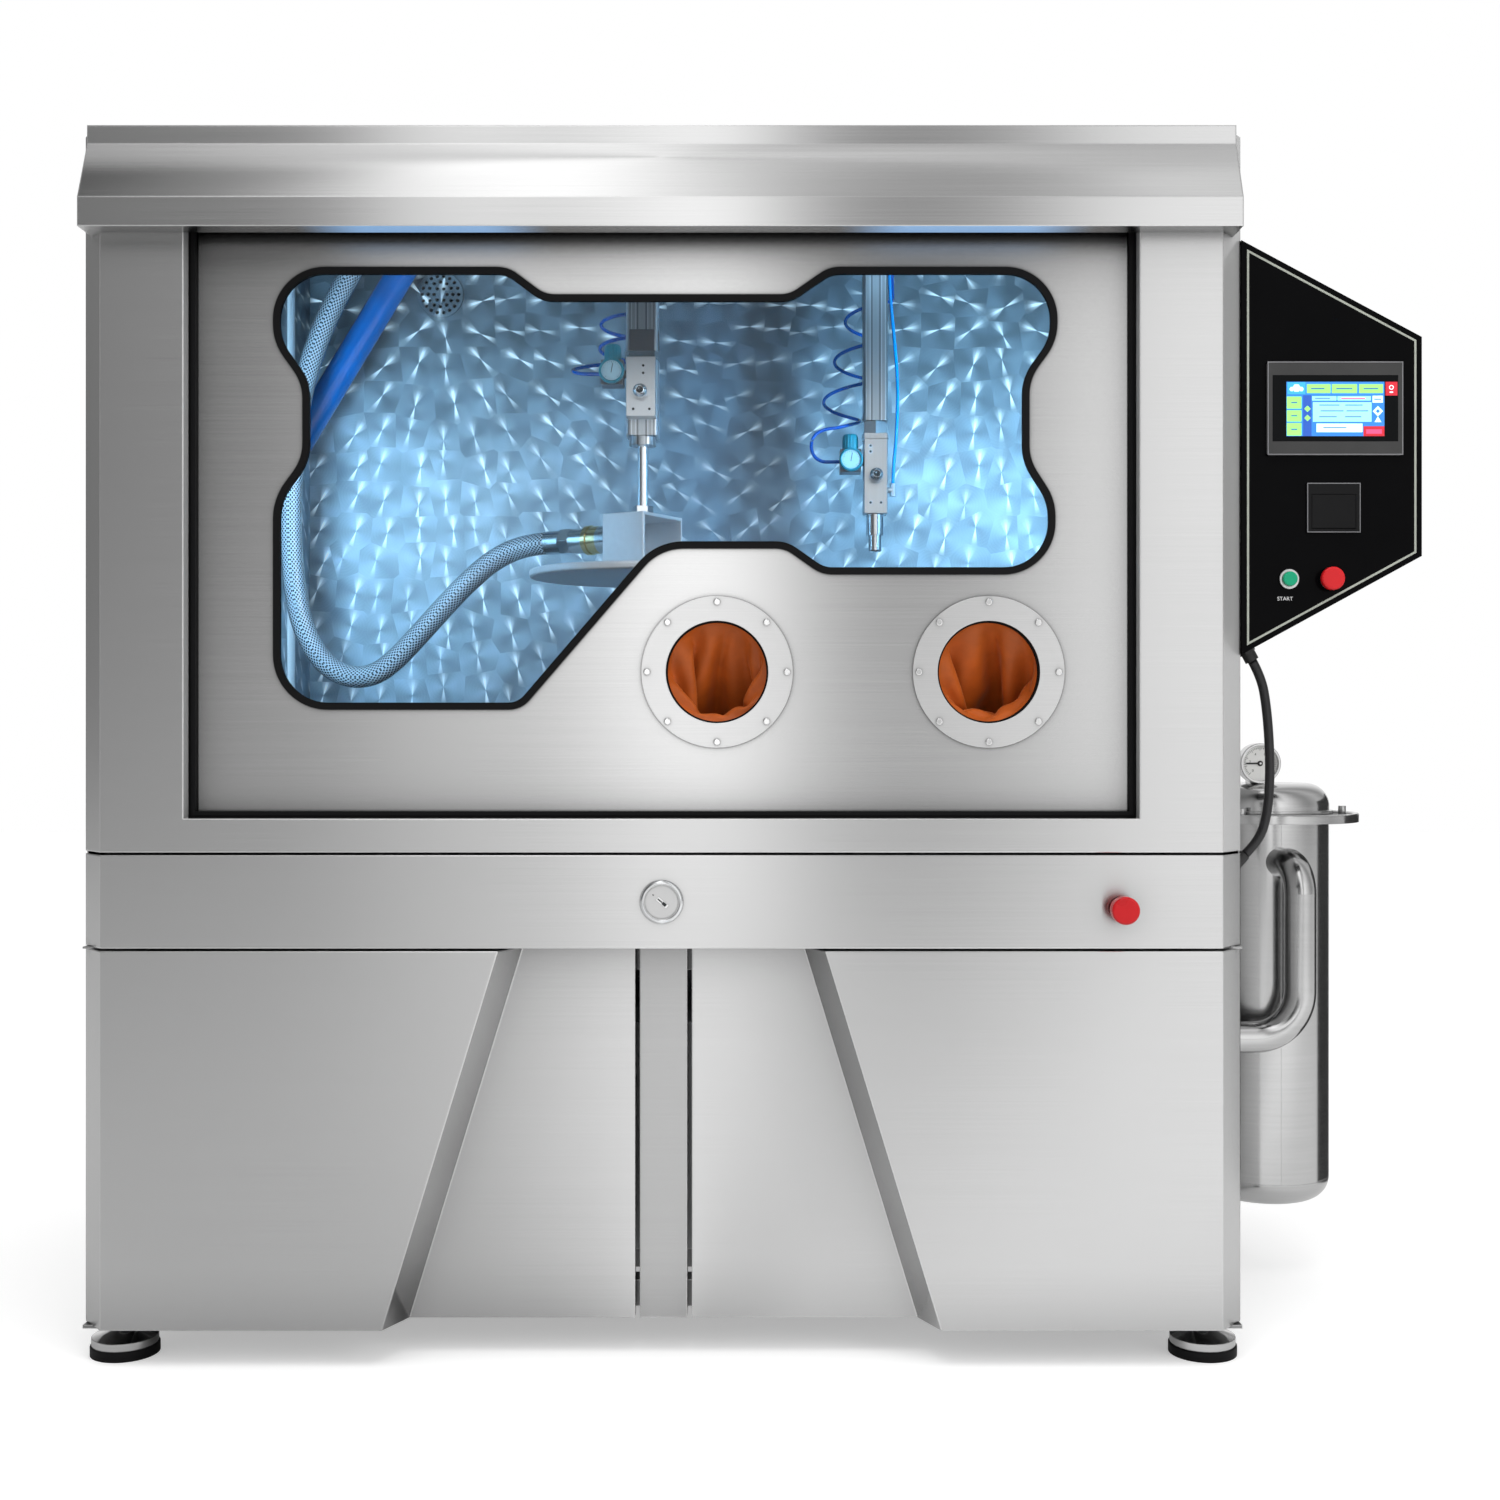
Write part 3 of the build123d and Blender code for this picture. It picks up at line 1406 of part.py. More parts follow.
# Lower doors: folded sheets with a slanting fold from the proud part to the recessed part
door_low = ground_gap
door_high = band_bottom - seam / 2
door_inner = post_half + post_seam


def lower_door_path(way, fold_x):
    points = [
        (half_width, chamfer_depth),
        (half_width - chamfer_width, 0),
        (fold_x, 0),
        (fold_x - fold_run, recess_depth),
        (door_inner, recess_depth),
    ]
    placed = [(way * x, y) for x, y in points]
    return placed if way < 0 else placed[::-1]


# The same path with the free edge folded back
def edged_path(way, fold_x):
    edge = (way * door_inner, recess_depth + flange_depth)
    path = lower_door_path(way, fold_x)
    return path + [edge] if way < 0 else [edge] + path


pivot_x = half_width - pivot_in
for way, name in ((-1, "left_door"), (1, "right_door")):
    with BuildPart() as lower_door:
        for z, fold_x in ((door_low, fold_bottom_x), (door_high, fold_top_x)):
            with BuildSketch(level(z)):
                with BuildLine():
                    Polyline(*strip(edged_path(way, fold_x), sheet), close=True)
                make_face()
        loft(ruled=True)
        for z, fold_x in ((door_low, fold_bottom_x), (door_high - sheet, fold_top_x)):
            with BuildSketch(level(z)):
                with BuildLine():
                    Polyline(*strip(lower_door_path(way, fold_x), flange_depth), close=True)
                make_face()
            extrude(amount=sheet)
        for z in (door_low, door_high - sheet):
            pivot_hole = pivot_dia + 2 * pin_gap
            column(way * pivot_x, pivot_y, (z, z + sheet), pivot_hole, mode=Mode.SUBTRACT)
    finish(lower_door, name)

# Door pivots: a plate and pin under each lower door, and one above it
with BuildPart() as door_pivots:
    for way in (-1, 1):
        plate_top_z = foot_bracket_bottom
        plate_low = plate_top_z - pivot_plate
        far = pivot_x + pivot_margin
        near_y = pivot_y - pivot_margin
        plate_x = (way * (foot_x - foot_bracket / 2), way * far)
        block(plate_x, (near_y, foot_front_y + foot_bracket / 2), (plate_low, plate_top_z))
        stem_hole = stem_dia + 2 * slide_gap
        stem_range = (plate_low, plate_top_z)
        column(way * foot_x, foot_front_y, stem_range, stem_hole, mode=Mode.SUBTRACT)
        column(way * pivot_x, pivot_y, (plate_top_z, plate_top_z + pivot_length), pivot_dia)
        upper = (mid_top, mid_top + top_pivot_plate)
        inner_x = post_in - weld_gap - foot_bracket
        block((way * inner_x, way * far), (near_y, pivot_y + pivot_margin), upper)
        block((way * inner_x, way * (post_in - weld_gap)), (near_y, post_front + tube), upper)
        column(way * pivot_x, pivot_y, (mid_top - pivot_length, mid_top), pivot_dia)
finish(door_pivots, "door_pivots")

# Drawer front: the chamfered band with flanges above and below, and its two holes
band_low = band_bottom + seam / 2
band_high = band_top - seam / 2
with BuildPart() as drawer_front:
    with BuildSketch(level(band_low)):
        with BuildLine():
            Polyline(*strip(front_path, sheet), close=True)
        make_face()
    extrude(amount=band_high - band_low)
    for z in (band_low, band_high - sheet):
        with BuildSketch(level(z)):
            with BuildLine():
                Polyline(*strip(front_path, flange_depth), close=True)
            make_face()
        extrude(amount=sheet)
    lock_hole = lock_barrel_dia + 2 * weld_gap
    spindle(0, lock_z, (-sheet, 2 * sheet), lock_hole, mode=Mode.SUBTRACT)
    estop_hole = estop_stem_dia + 4 * slide_gap
    spindle(estop_x, estop_z, (-sheet, 2 * sheet), estop_hole, mode=Mode.SUBTRACT)
finish(drawer_front, "drawer_front")

# Drawer box with a slide bar at each side that reaches forward to the band
with BuildPart() as drawer_box:
    box_x = (-drawer_box_half, drawer_box_half)
    box_y = (drawer_box_front, drawer_box_rear)
    block(box_x, box_y, (drawer_box_bottom, drawer_box_top))
    block(
        (box_x[0] + sheet, box_x[1] - sheet),
        (box_y[0] + sheet, box_y[1] - sheet),
        (drawer_box_bottom + sheet, drawer_box_top + sheet),
        mode=Mode.SUBTRACT,
    )
    for way in (-1, 1):
        bar_x = (way * drawer_box_half, way * (drawer_box_half + slide_bar))
        block(bar_x, (sheet, drawer_box_rear), (slide_z, slide_z + slide_height))
finish(drawer_box, "drawer_box")

with BuildPart() as drawer_slides:
    for way in (-1, 1):
        rail_in = drawer_box_half + slide_bar / 4
        rail_sides = (way * rail_in, way * post_in)
        rail_z = (slide_z - slide_gap - slide_wall, slide_z + slide_height + slide_gap + slide_wall)
        block(rail_sides, (post_front, slide_rear), rail_z)
        groove_x = (way * rail_in, way * (drawer_box_half + slide_bar + slide_gap))
        groove_z = (slide_z - slide_gap, slide_z + slide_height + slide_gap)
        block(groove_x, (post_front, slide_rear), groove_z, mode=Mode.SUBTRACT)
finish(drawer_slides, "drawer_slides")

# Drawer hardware: the lock's housing, and the switch block behind the emergency stop
with BuildPart() as drawer_hardware:
    spindle(0, lock_z, (-lock_ring, 0), lock_ring_dia)
    fillet(drawer_hardware.faces().sort_by(Axis.Y)[0].edges(), radius=lock_ring / 2)
    spindle(0, lock_z, (0, lock_length), lock_barrel_dia)
    lock_bore = lock_core_dia + 2 * pin_gap
    spindle(0, lock_z, (-lock_ring, lock_length), lock_bore, mode=Mode.SUBTRACT)
    half = estop_block / 2
    block(
        (estop_x - half, estop_x + half),
        (sheet, sheet + estop_block_depth),
        (estop_z - half, estop_z + half),
    )
    stem_bore = (sheet, sheet + estop_block_depth - sheet)
    spindle(estop_x, estop_z, stem_bore, estop_stem_dia + 2 * pin_gap, mode=Mode.SUBTRACT)
finish(drawer_hardware, "drawer_hardware")

with BuildPart() as lock_core:
    core_y = (lock_core_set - lock_ring, lock_length)
    spindle(0, lock_z, core_y, lock_core_dia)
    with BuildSketch(front(core_y[0])):
        with Locations((0, lock_z)):
            Rectangle(keyway[0], keyway[1], rotation=keyway_turn)
    extrude(amount=-keyway[2], mode=Mode.SUBTRACT)
finish(lock_core, "lock_core")

# Emergency stop: mushroom head, neck and stem
with BuildPart() as estop_button:
    neck_front = -estop_neck - estop_travel
    spindle(estop_x, estop_z, (neck_front - estop_head, neck_front), estop_head_dia)
    fillet(estop_button.faces().sort_by(Axis.Y)[0].edges(), radius=estop_head / 5)
    spindle(estop_x, estop_z, (neck_front, -estop_travel - slide_gap), estop_neck_dia)
    stem_end = sheet + estop_block_depth - sheet - estop_travel - slide_gap
    spindle(estop_x, estop_z, (-estop_travel - slide_gap, stem_end), estop_stem_dia)
finish(estop_button, "estop_button")

# Control box: a trapezoid shell on the right side, closed by its front plate
box_right = half_width + box_width
box_outline = [
    (half_width, box_left_z[0]),
    (half_width, box_left_z[1]),
    (box_right, box_right_z[1]),
    (box_right, box_right_z[0]),
]
shell_front = box_face + face_plate
shell_back = box_face + box_depth
with BuildPart() as control_box:
    with BuildSketch(front(shell_front)):
        with BuildLine():
            Polyline(*box_outline, close=True)
        make_face()
    extrude(amount=shell_front - shell_back)
    with BuildSketch(front(shell_front)):
        with BuildLine():
            Polyline(*box_outline, close=True)
        make_face()
        offset(amount=-box_wall, mode=Mode.REPLACE)
    extrude(amount=shell_front - shell_back + box_wall, mode=Mode.SUBTRACT)
finish(control_box, "control_box")

hmi_hole = (hmi_width - 2 * hmi_body_inset, hmi_height - 2 * hmi_body_inset)
printer_hole = (printer_width - 2 * printer_body_inset, printer_height - 2 * printer_body_inset)
with BuildPart() as control_face:
    with BuildSketch(front(box_face)):
        with BuildLine():
            Polyline(*box_outline, close=True)
        make_face()
        with Locations((hmi_x, hmi_z)):
            Rectangle(hmi_hole[0], hmi_hole[1], mode=Mode.SUBTRACT)
        with Locations((printer_x, printer_z)):
            Rectangle(printer_hole[0], printer_hole[1], mode=Mode.SUBTRACT)
        with Locations((start_x, button_z), (stop_x, button_z)):
            Circle(button_hole_dia / 2, mode=Mode.SUBTRACT)
    extrude(amount=-face_plate)
finish(control_face, "control_face")

# Touch panel: bezel with a body through the plate, and the screen set into it
bezel_front = box_face - hmi_proud
with BuildPart() as hmi_bezel:
    with BuildSketch(front(bezel_front)):
        with Locations((hmi_x, hmi_z)):
            RectangleRounded(hmi_width, hmi_height, hmi_proud)
    extrude(amount=-hmi_proud)
    fillet(hmi_bezel.faces().sort_by(Axis.Y)[0].edges(), radius=hmi_proud / 4)
    with BuildSketch(front(box_face)):
        with Locations((hmi_x, hmi_z)):
            Rectangle(hmi_hole[0] - 2 * slide_gap, hmi_hole[1] - 2 * slide_gap)
    extrude(amount=-hmi_body_depth)
    with BuildSketch(front(bezel_front)):
        with Locations((hmi_x, hmi_z)):
            Rectangle(screen_width + 2 * weld_gap, screen_height + 2 * weld_gap)
    extrude(amount=-screen_thick - weld_gap, mode=Mode.SUBTRACT)
finish(hmi_bezel, "hmi_bezel")

with BuildPart() as hmi_screen:
    with BuildSketch(front(bezel_front + weld_gap)):
        with Locations((hmi_x, hmi_z)):
            Rectangle(screen_width, screen_height)
    extrude(amount=-screen_thick)
finish(hmi_screen, "hmi_screen")

# Panel printer: a bezel with a paper bay, and the lid that drops open over it
printer_front = box_face - printer_proud
lid_z = printer_z - printer_height / 2 + lid_drop
hinge_y = printer_front + lid_thick / 2
with BuildPart() as printer_body:
    with BuildSketch(front(printer_front)):
        with Locations((printer_x, printer_z)):
            RectangleRounded(printer_width, printer_height, printer_proud)
    extrude(amount=-printer_proud)
    fillet(printer_body.faces().sort_by(Axis.Y)[0].edges(), radius=printer_proud / 4)
    with BuildSketch(front(box_face)):
        with Locations((printer_x, printer_z)):
            Rectangle(printer_hole[0] - 2 * slide_gap, printer_hole[1] - 2 * slide_gap)
    extrude(amount=-printer_depth)
    bay_half = lid_width / 2 + lid_gap
    bay_z = (lid_z - lid_gap, lid_z + lid_height + lid_gap)
    block(
        (printer_x - bay_half, printer_x + bay_half),
        (printer_front, printer_front + lid_thick + lid_gap),
        bay_z,
        mode=Mode.SUBTRACT,
    )
    block(
        (printer_x - lid_width / 2 + printer_wall, printer_x + lid_width / 2 - printer_wall),
        (printer_front, box_face + printer_depth - printer_wall),
        (lid_z + lid_pin_dia + printer_wall, lid_z + lid_height - printer_wall),
        mode=Mode.SUBTRACT,
    )
    pin_bore = (printer_x - bay_half - printer_wall, printer_x + bay_half + printer_wall)
    pin_z = lid_z + lid_thick / 2
    axle(hinge_y, pin_z, pin_bore, lid_pin_dia / 2 + 2 * pin_gap, mode=Mode.SUBTRACT)
finish(printer_body, "printer_body")

with BuildPart() as printer_lid:
    lid_x = (printer_x - lid_width / 2, printer_x + lid_width / 2)
    block(lid_x, (printer_front, printer_front + lid_thick), (lid_z, lid_z + lid_height))
    low_edges = printer_lid.edges().filter_by(Axis.X).group_by(Axis.Z)[0]
    fillet(low_edges, radius=lid_thick / 2 - pin_gap)
    axle(hinge_y, pin_z, pin_bore, lid_pin_dia / 2)
finish(printer_lid, "printer_lid")

# Push-buttons: collars on the plate, a flush start cap and a mushroom stop
with BuildPart() as button_bezels:
    for x in (start_x, stop_x):
        spindle(x, button_z, (box_face - button_ring, box_face), button_ring_dia)
        spindle(x, button_z, (box_face, box_face + button_stem), button_hole_dia)
    collar_front = button_bezels.faces().filter_by(Axis.Y).group_by(Axis.Y)[0]
    fillet(collar_front.edges(), radius=button_ring / 3)
    for x in (start_x, stop_x):
        bore = (box_face - button_ring, box_face + button_stem - sheet)
        spindle(x, button_z, bore, start_cap_dia - 2 * sheet + 2 * pin_gap, mode=Mode.SUBTRACT)
        counter = (box_face - button_ring, box_face - slide_gap)
        cap_hole = start_cap_dia + 2 * pin_gap
        spindle(x, button_z, counter, cap_hole, mode=Mode.SUBTRACT)
finish(button_bezels, "button_bezels")

shank_dia = start_cap_dia - 2 * sheet
shank_end = box_face + button_stem - sheet - stop_travel - slide_gap
with BuildPart() as start_button:
    cap_back = box_face - slide_gap - start_travel - slide_gap
    spindle(start_x, button_z, (cap_back - start_cap, cap_back), start_cap_dia)
    fillet(start_button.faces().sort_by(Axis.Y)[0].edges(), radius=start_cap / 4)
    spindle(start_x, button_z, (cap_back, shank_end), shank_dia)
finish(start_button, "start_button")

with BuildPart() as stop_button:
    head_back = box_face - button_ring - stop_lift
    spindle(stop_x, button_z, (head_back - stop_head, head_back), stop_head_dia)
    fillet(stop_button.faces().sort_by(Axis.Y)[0].edges(), radius=stop_head / 3)
    spindle(stop_x, button_z, (head_back, shank_end), shank_dia)
finish(stop_button, "stop_button")

# Cable glands: one square to the box's sloping underside, and a tapered boot on the cabinet's side
rise = (box_right_z[0] - box_left_z[0]) / box_width
slope = Vector(1, 0, rise).normalized()
gland_dir = Vector(slope.Z, 0, -slope.X)
gland_root = Vector(spot(half_width, gland_y, box_left_z[0])) + slope * gland_along
gland_tip = gland_root + gland_dir * gland_length
cable_route = (
    (907.0, 110.0, 957.0),
    (911.0, 109.0, 902.0),
    (911.5, 108.0, 846.0),
    (907.5, 108.5, 797.0),
    (896.5, 109.5, 758.0),
)
boot_root = Vector(spot(half_width, gland_y, cable_entry_z))
boot_dir = (Vector(spot(*cable_route[-1])) - boot_root).normalized()
boot_tip = boot_root + boot_dir * boot_length
with BuildPart() as cable_glands:
    with BuildSketch(Plane(origin=gland_root, z_dir=gland_dir)):
        RegularPolygon(gland_dia / 2, 6)
    extrude(amount=gland_nut)
    with BuildSketch(Plane(origin=gland_root, z_dir=gland_dir)):
        Circle(gland_body_dia / 2)
    extrude(amount=gland_length)
    with BuildSketch(Plane(origin=boot_root - boot_dir * boot_dia, z_dir=boot_dir)):
        Circle(boot_dia / 2)
    with BuildSketch(Plane(origin=boot_tip, z_dir=boot_dir)):
        Circle(boot_tip_dia / 2)
    loft()
    block(
        (half_width - 3 * boot_dia, half_width),
        (gland_y - 2 * boot_dia, gland_y + 2 * boot_dia),
        (cable_entry_z - 3 * boot_dia, cable_entry_z + 3 * boot_dia),
        mode=Mode.SUBTRACT,
    )
finish(cable_glands, "cable_glands")

cable_points = [gland_tip, gland_tip + gland_dir * cable_lead]
cable_points += [Vector(spot(*place)) for place in cable_route] + [boot_tip]
control_cable = route_tube("control cable", cable_points, cable_dia)
finish(control_cable, "control_cable")

# Filter canister: a pot welded of a dished bottom, rolled shell quarters, a rimmed flange with clamp
# lugs, and two wall brackets
canister_r = canister_dia / 2
flange_low = canister_flange_top - canister_flange
with BuildPart() as canister_body:
    column(canister_x, canister_y, (canister_bottom, flange_low), canister_dia)
    fillet(canister_body.edges().group_by(Axis.Z)[0], radius=canister_round)
    column(canister_x, canister_y, (flange_low, canister_flange_top), canister_flange_dia)
    rim_top = canister_flange_top + canister_rim
    column(canister_x, canister_y, (canister_flange_top, rim_top), canister_flange_dia)
    rim_in = canister_flange_dia - 2 * canister_rim_width
    column(canister_x, canister_y, (canister_flange_top, rim_top), rim_in, mode=Mode.SUBTRACT)
    rim_edges = canister_body.edges().filter_by(GeomType.CIRCLE).group_by(Axis.Z)[-1]
    fillet(rim_edges, radius=canister_rim_width / 4)
    for index in range(clamp_lugs):
        turn = 2 * pi * index / clamp_lugs
        lug_x = canister_x + clamp_lug_circle / 2 * cos(turn)
        lug_y = canister_y + clamp_lug_circle / 2 * sin(turn)
        lug_z = (canister_flange_top, canister_flange_top + clamp_lug)
        column(lug_x, lug_y, lug_z, clamp_lug_dia)
    for z in bracket_z:
        block(
            (half_width, canister_x),
            (canister_y - bracket_width / 2, canister_y + bracket_width / 2),
            (z - bracket_thick / 2, z + bracket_thick / 2),
        )
        block(
            (half_width, half_width + bracket_thick),
            (canister_y - bracket_width / 2, canister_y + bracket_width / 2),
            (z - bracket_width / 2, z + bracket_width / 2),
        )
    inner_dia = canister_dia - 2 * canister_wall
    pot_low = canister_bottom + canister_wall
    with BuildPart(mode=Mode.PRIVATE) as pot:
        column(canister_x, canister_y, (pot_low, rim_top), inner_dia)
        fillet(pot.edges().group_by(Axis.Z)[0], radius=canister_round - canister_wall)
    add(pot.part, mode=Mode.SUBTRACT)
    port_y = (canister_y - canister_r - tube, canister_y)
    spindle(canister_x, pipe_high_z, port_y, pipe_bore, mode=Mode.SUBTRACT)
    # Weld seams: round the bottom, under the flange, down all four sides, and at the brackets
    shell_low = canister_bottom + canister_round
    seam_r = canister_r + weld_gap
    for low in (shell_low, flange_low - weld_gap):
        column(canister_x, canister_y, (low, low + weld_gap), 2 * seam_r, mode=Mode.SUBTRACT)
    block(
        (canister_x - seam_r, canister_x + seam_r),
        (canister_y, canister_y + weld_gap),
        (shell_low, flange_low),
        mode=Mode.SUBTRACT,
    )
    block(
        (canister_x, canister_x + weld_gap),
        (canister_y - seam_r, canister_y + seam_r),
        (shell_low, flange_low),
        mode=Mode.SUBTRACT,
    )
    with BuildPart(mode=Mode.PRIVATE) as bracket_seam:
        column(canister_x, canister_y, (shell_low, flange_low - weld_gap), 2 * seam_r)
        column(canister_x, canister_y, (shell_low, flange_low), canister_dia, mode=Mode.SUBTRACT)
    add(bracket_seam.part, mode=Mode.SUBTRACT)
finish(canister_body, "canister_body")

# Canister lid: a ring and a hollow dome
lid_low = canister_flange_top
with BuildPart() as canister_lid:
    column(canister_x, canister_y, (lid_low, lid_low + lid_ring), lid_ring_dia)
    column(canister_x, canister_y, (lid_low + lid_ring, dome_top), dome_dia)
    fillet(canister_lid.edges().group_by(Axis.Z)[-1], radius=dome_round)
    with BuildPart(mode=Mode.PRIVATE) as hollow:
        hollow_dia = dome_dia - 2 * dome_wall
        column(canister_x, canister_y, (lid_low, dome_top - dome_wall), hollow_dia)
        fillet(hollow.edges().group_by(Axis.Z)[-1], radius=dome_round - dome_wall)
    add(hollow.part, mode=Mode.SUBTRACT)
finish(canister_lid, "canister_lid")

# Pressure gauge on the lid: case with a sunk dial, stem block and needle pin
gauge_x = canister_x - gauge_aside
gauge_back = gauge_y + gauge_depth
dial_y = gauge_y + gauge_recess
with BuildPart() as canister_gauge:
    spindle(gauge_x, gauge_z, (gauge_y, gauge_back), gauge_dia)
    fillet(canister_gauge.faces().sort_by(Axis.Y)[0].edges(), radius=gauge_rim / 3)
    recess = (gauge_y, dial_y)
    spindle(gauge_x, gauge_z, recess, gauge_dia - 2 * gauge_rim, mode=Mode.SUBTRACT)
    spindle(gauge_x, gauge_z, (gauge_y + gauge_recess / 3, dial_y), gauge_pin_dia)
    stem_half = gauge_rim * 3
    stem_y = (gauge_back - gauge_rim, gauge_back + 2 * stem_half)
    block((gauge_x - stem_half, gauge_x + stem_half), stem_y, (dome_top, gauge_z))
finish(canister_gauge, "canister_gauge")

with BuildPart() as gauge_needle:
    needle_y = (dial_y - 2 * needle_thick, dial_y - needle_thick)
    spindle(gauge_x, gauge_z, needle_y, needle_hub_dia)
    block(
        (gauge_x - needle_length, gauge_x),
        needle_y,
        (gauge_z - needle_width / 2, gauge_z + needle_width / 2),
    )
    hub_bore = gauge_pin_dia + 2 * pin_gap
    spindle(gauge_x, gauge_z, needle_y, hub_bore, mode=Mode.SUBTRACT)
finish(gauge_needle, "gauge_needle")

# Canister pipe: forward out of the canister, down, and in through the cabinet's side
pipe_points = (
    spot(pipe_start_x, canister_y - canister_r + pipe_end_in, pipe_high_z),
    spot(pipe_x, pipe_wall_y, pipe_high_z),
    spot(pipe_x, pipe_wall_y, pipe_low_z),
    spot(half_width - pipe_end_in, pipe_wall_y, pipe_low_z),
)
with BuildPart() as canister_pipe:
    with BuildLine() as pipe_line:
        FilletPolyline(*pipe_points, radius=pipe_bends)
    with BuildSketch(Plane(origin=pipe_line.line @ 0, z_dir=pipe_line.line % 0)):
        Circle(pipe_dia / 2)
        Circle(pipe_bore / 2, mode=Mode.SUBTRACT)
    sweep()
    column(canister_x, canister_y, (canister_bottom, flange_low), canister_dia, mode=Mode.SUBTRACT)
finish(canister_pipe, "canister_pipe")
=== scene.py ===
import math
import bmesh
import bpy
import numpy as np
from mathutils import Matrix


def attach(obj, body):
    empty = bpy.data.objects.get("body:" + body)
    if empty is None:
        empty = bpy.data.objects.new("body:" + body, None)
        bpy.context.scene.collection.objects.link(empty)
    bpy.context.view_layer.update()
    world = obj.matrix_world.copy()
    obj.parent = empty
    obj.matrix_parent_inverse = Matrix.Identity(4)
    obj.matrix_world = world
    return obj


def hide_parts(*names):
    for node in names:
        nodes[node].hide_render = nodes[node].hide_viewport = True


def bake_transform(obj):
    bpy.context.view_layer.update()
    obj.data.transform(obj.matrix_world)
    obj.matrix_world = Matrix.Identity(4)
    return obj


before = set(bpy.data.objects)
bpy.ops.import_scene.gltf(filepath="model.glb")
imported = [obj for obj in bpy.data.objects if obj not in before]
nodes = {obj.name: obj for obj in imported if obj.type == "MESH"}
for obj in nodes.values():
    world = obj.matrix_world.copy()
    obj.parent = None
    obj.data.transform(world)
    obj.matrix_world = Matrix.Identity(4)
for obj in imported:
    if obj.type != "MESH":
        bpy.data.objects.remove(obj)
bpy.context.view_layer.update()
scene = bpy.context.scene
scene.view_settings.view_transform = "Standard"

# Places are written in the cabinet's own terms, in mm: x from its middle, y back from its front
# face, z up from the floor. spot() carries them to the frame, in metres.
cabinet = {"midX": -160, "frontY": -430}


def spot(x, y, z):
    placed = np.broadcast_arrays(
        np.asarray(x, float) + cabinet["midX"], np.asarray(y, float) + cabinet["frontY"], np.asarray(z, float)
    )
    return np.stack(placed, axis=-1) / 1000


# Camera: level, square to the front, where hood, frame and feet stand as in the photograph
cameraSetup = {"at": (128, -2600, 916), "lens": 43.13, "sensor": 36, "shiftY": -0.01}
camData = bpy.data.cameras.new("photoCamera")
camData.lens = cameraSetup["lens"]
camData.sensor_width = cameraSetup["sensor"]
camData.shift_y = cameraSetup["shiftY"]
camera = bpy.data.objects.new("photoCamera", camData)
camera.location = spot(*cameraSetup["at"])
camera.rotation_euler = (math.pi / 2, 0, 0)
scene.collection.objects.link(camera)
scene.camera = camera


# Mesh object from points and faces, at the origin
def addPiece(name, points, faces, material, smooth=True):
    mesh = bpy.data.meshes.new(name)
    corners = faces.tolist() if isinstance(faces, np.ndarray) else faces
    mesh.from_pydata(np.asarray(points).reshape(-1, 3).tolist(), [], corners)
    mesh.validate()
    mesh.polygons.foreach_set("use_smooth", np.full(len(mesh.polygons), smooth))
    piece = bpy.data.objects.new(name, mesh)
    scene.collection.objects.link(piece)
    piece.data.materials.append(material)
    return piece


# Quads of a grid of rows and columns; around joins the last column to the first
def gridFaces(rows, columns, around=False):
    last = columns if around else columns - 1
    row, column = np.meshgrid(np.arange(rows - 1), np.arange(last), indexing="ij")
    after = (column + 1) % columns
    corners = [row * columns + column, row * columns + after]
    corners += [(row + 1) * columns + after, (row + 1) * columns + column]
    return np.stack(corners, axis=-1).reshape(-1, 4)


# UV map from one pair of values for each point
def addUv(piece, values):
    mesh = piece.data
    layer = mesh.uv_layers.new(name="along")
    index = np.zeros(len(mesh.loops), np.int32)
    mesh.loops.foreach_get("vertex_index", index)
    layer.data.foreach_set("uv", np.asarray(values, np.float32).reshape(-1, 2)[index].ravel())


# Closed fan over a ring of points, as triangles to a middle point
def fanFaces(first, count, middle, flip=False):
    here = first + np.arange(count)
    after = first + (np.arange(count) + 1) % count
    ring = (after, here) if flip else (here, after)
    return np.stack([*ring, np.full(count, middle)], axis=-1)


# Turned piece: a profile of (radius, distance) pairs carried once round an axis along y or z. Ribs have
# a count, a depth and a share for each pair of the profile.
def turned(name, profile, centre, axis, material, sides=48, ribs=None):
    profile = np.asarray(profile, float)
    angle = np.linspace(0, 2 * math.pi, sides, endpoint=False)
    wave = np.ones((len(profile), sides))
    if ribs:
        count, depth, shares = ribs
        wave -= depth * np.asarray(shares, float)[:, None] * (0.5 - 0.5 * np.cos(count * angle))
    radius = profile[:, :1] * wave
    across, up = radius * np.cos(angle), radius * np.sin(angle)
    along = np.repeat(profile[:, 1:], sides, axis=1)
    if axis == "y":
        points = spot(centre[0] + across, centre[1] + along, centre[2] + up)
    else:
        points = spot(centre[0] + across, centre[1] - up, centre[2] + along)
    piece = addPiece(name, points, gridFaces(len(profile), sides, around=True), material)
    closeSurface(piece)
    return piece


# Merges doubled points and turns all faces outwards
def closeSurface(piece, near=1e-6):
    work = bmesh.new()
    work.from_mesh(piece.data)
    bmesh.ops.remove_doubles(work, verts=work.verts, dist=near)
    bmesh.ops.dissolve_degenerate(work, edges=work.edges, dist=near)
    bmesh.ops.recalc_face_normals(work, faces=work.faces)
    work.to_mesh(piece.data)
    work.free()


# Prism: an outline of (x, y) pairs carried up from one height to another
def prism(name, outline, low, high, material):
    outline = np.asarray(outline, float)
    count = len(outline)
    points = np.concatenate([spot(outline[:, 0], outline[:, 1], level) for level in (low, high)])
    ends = [list(range(count)), list(range(count, 2 * count))]
    piece = addPiece(name, points, gridFaces(2, count, around=True).tolist() + ends, material, smooth=False)
    closeSurface(piece)
    return piece


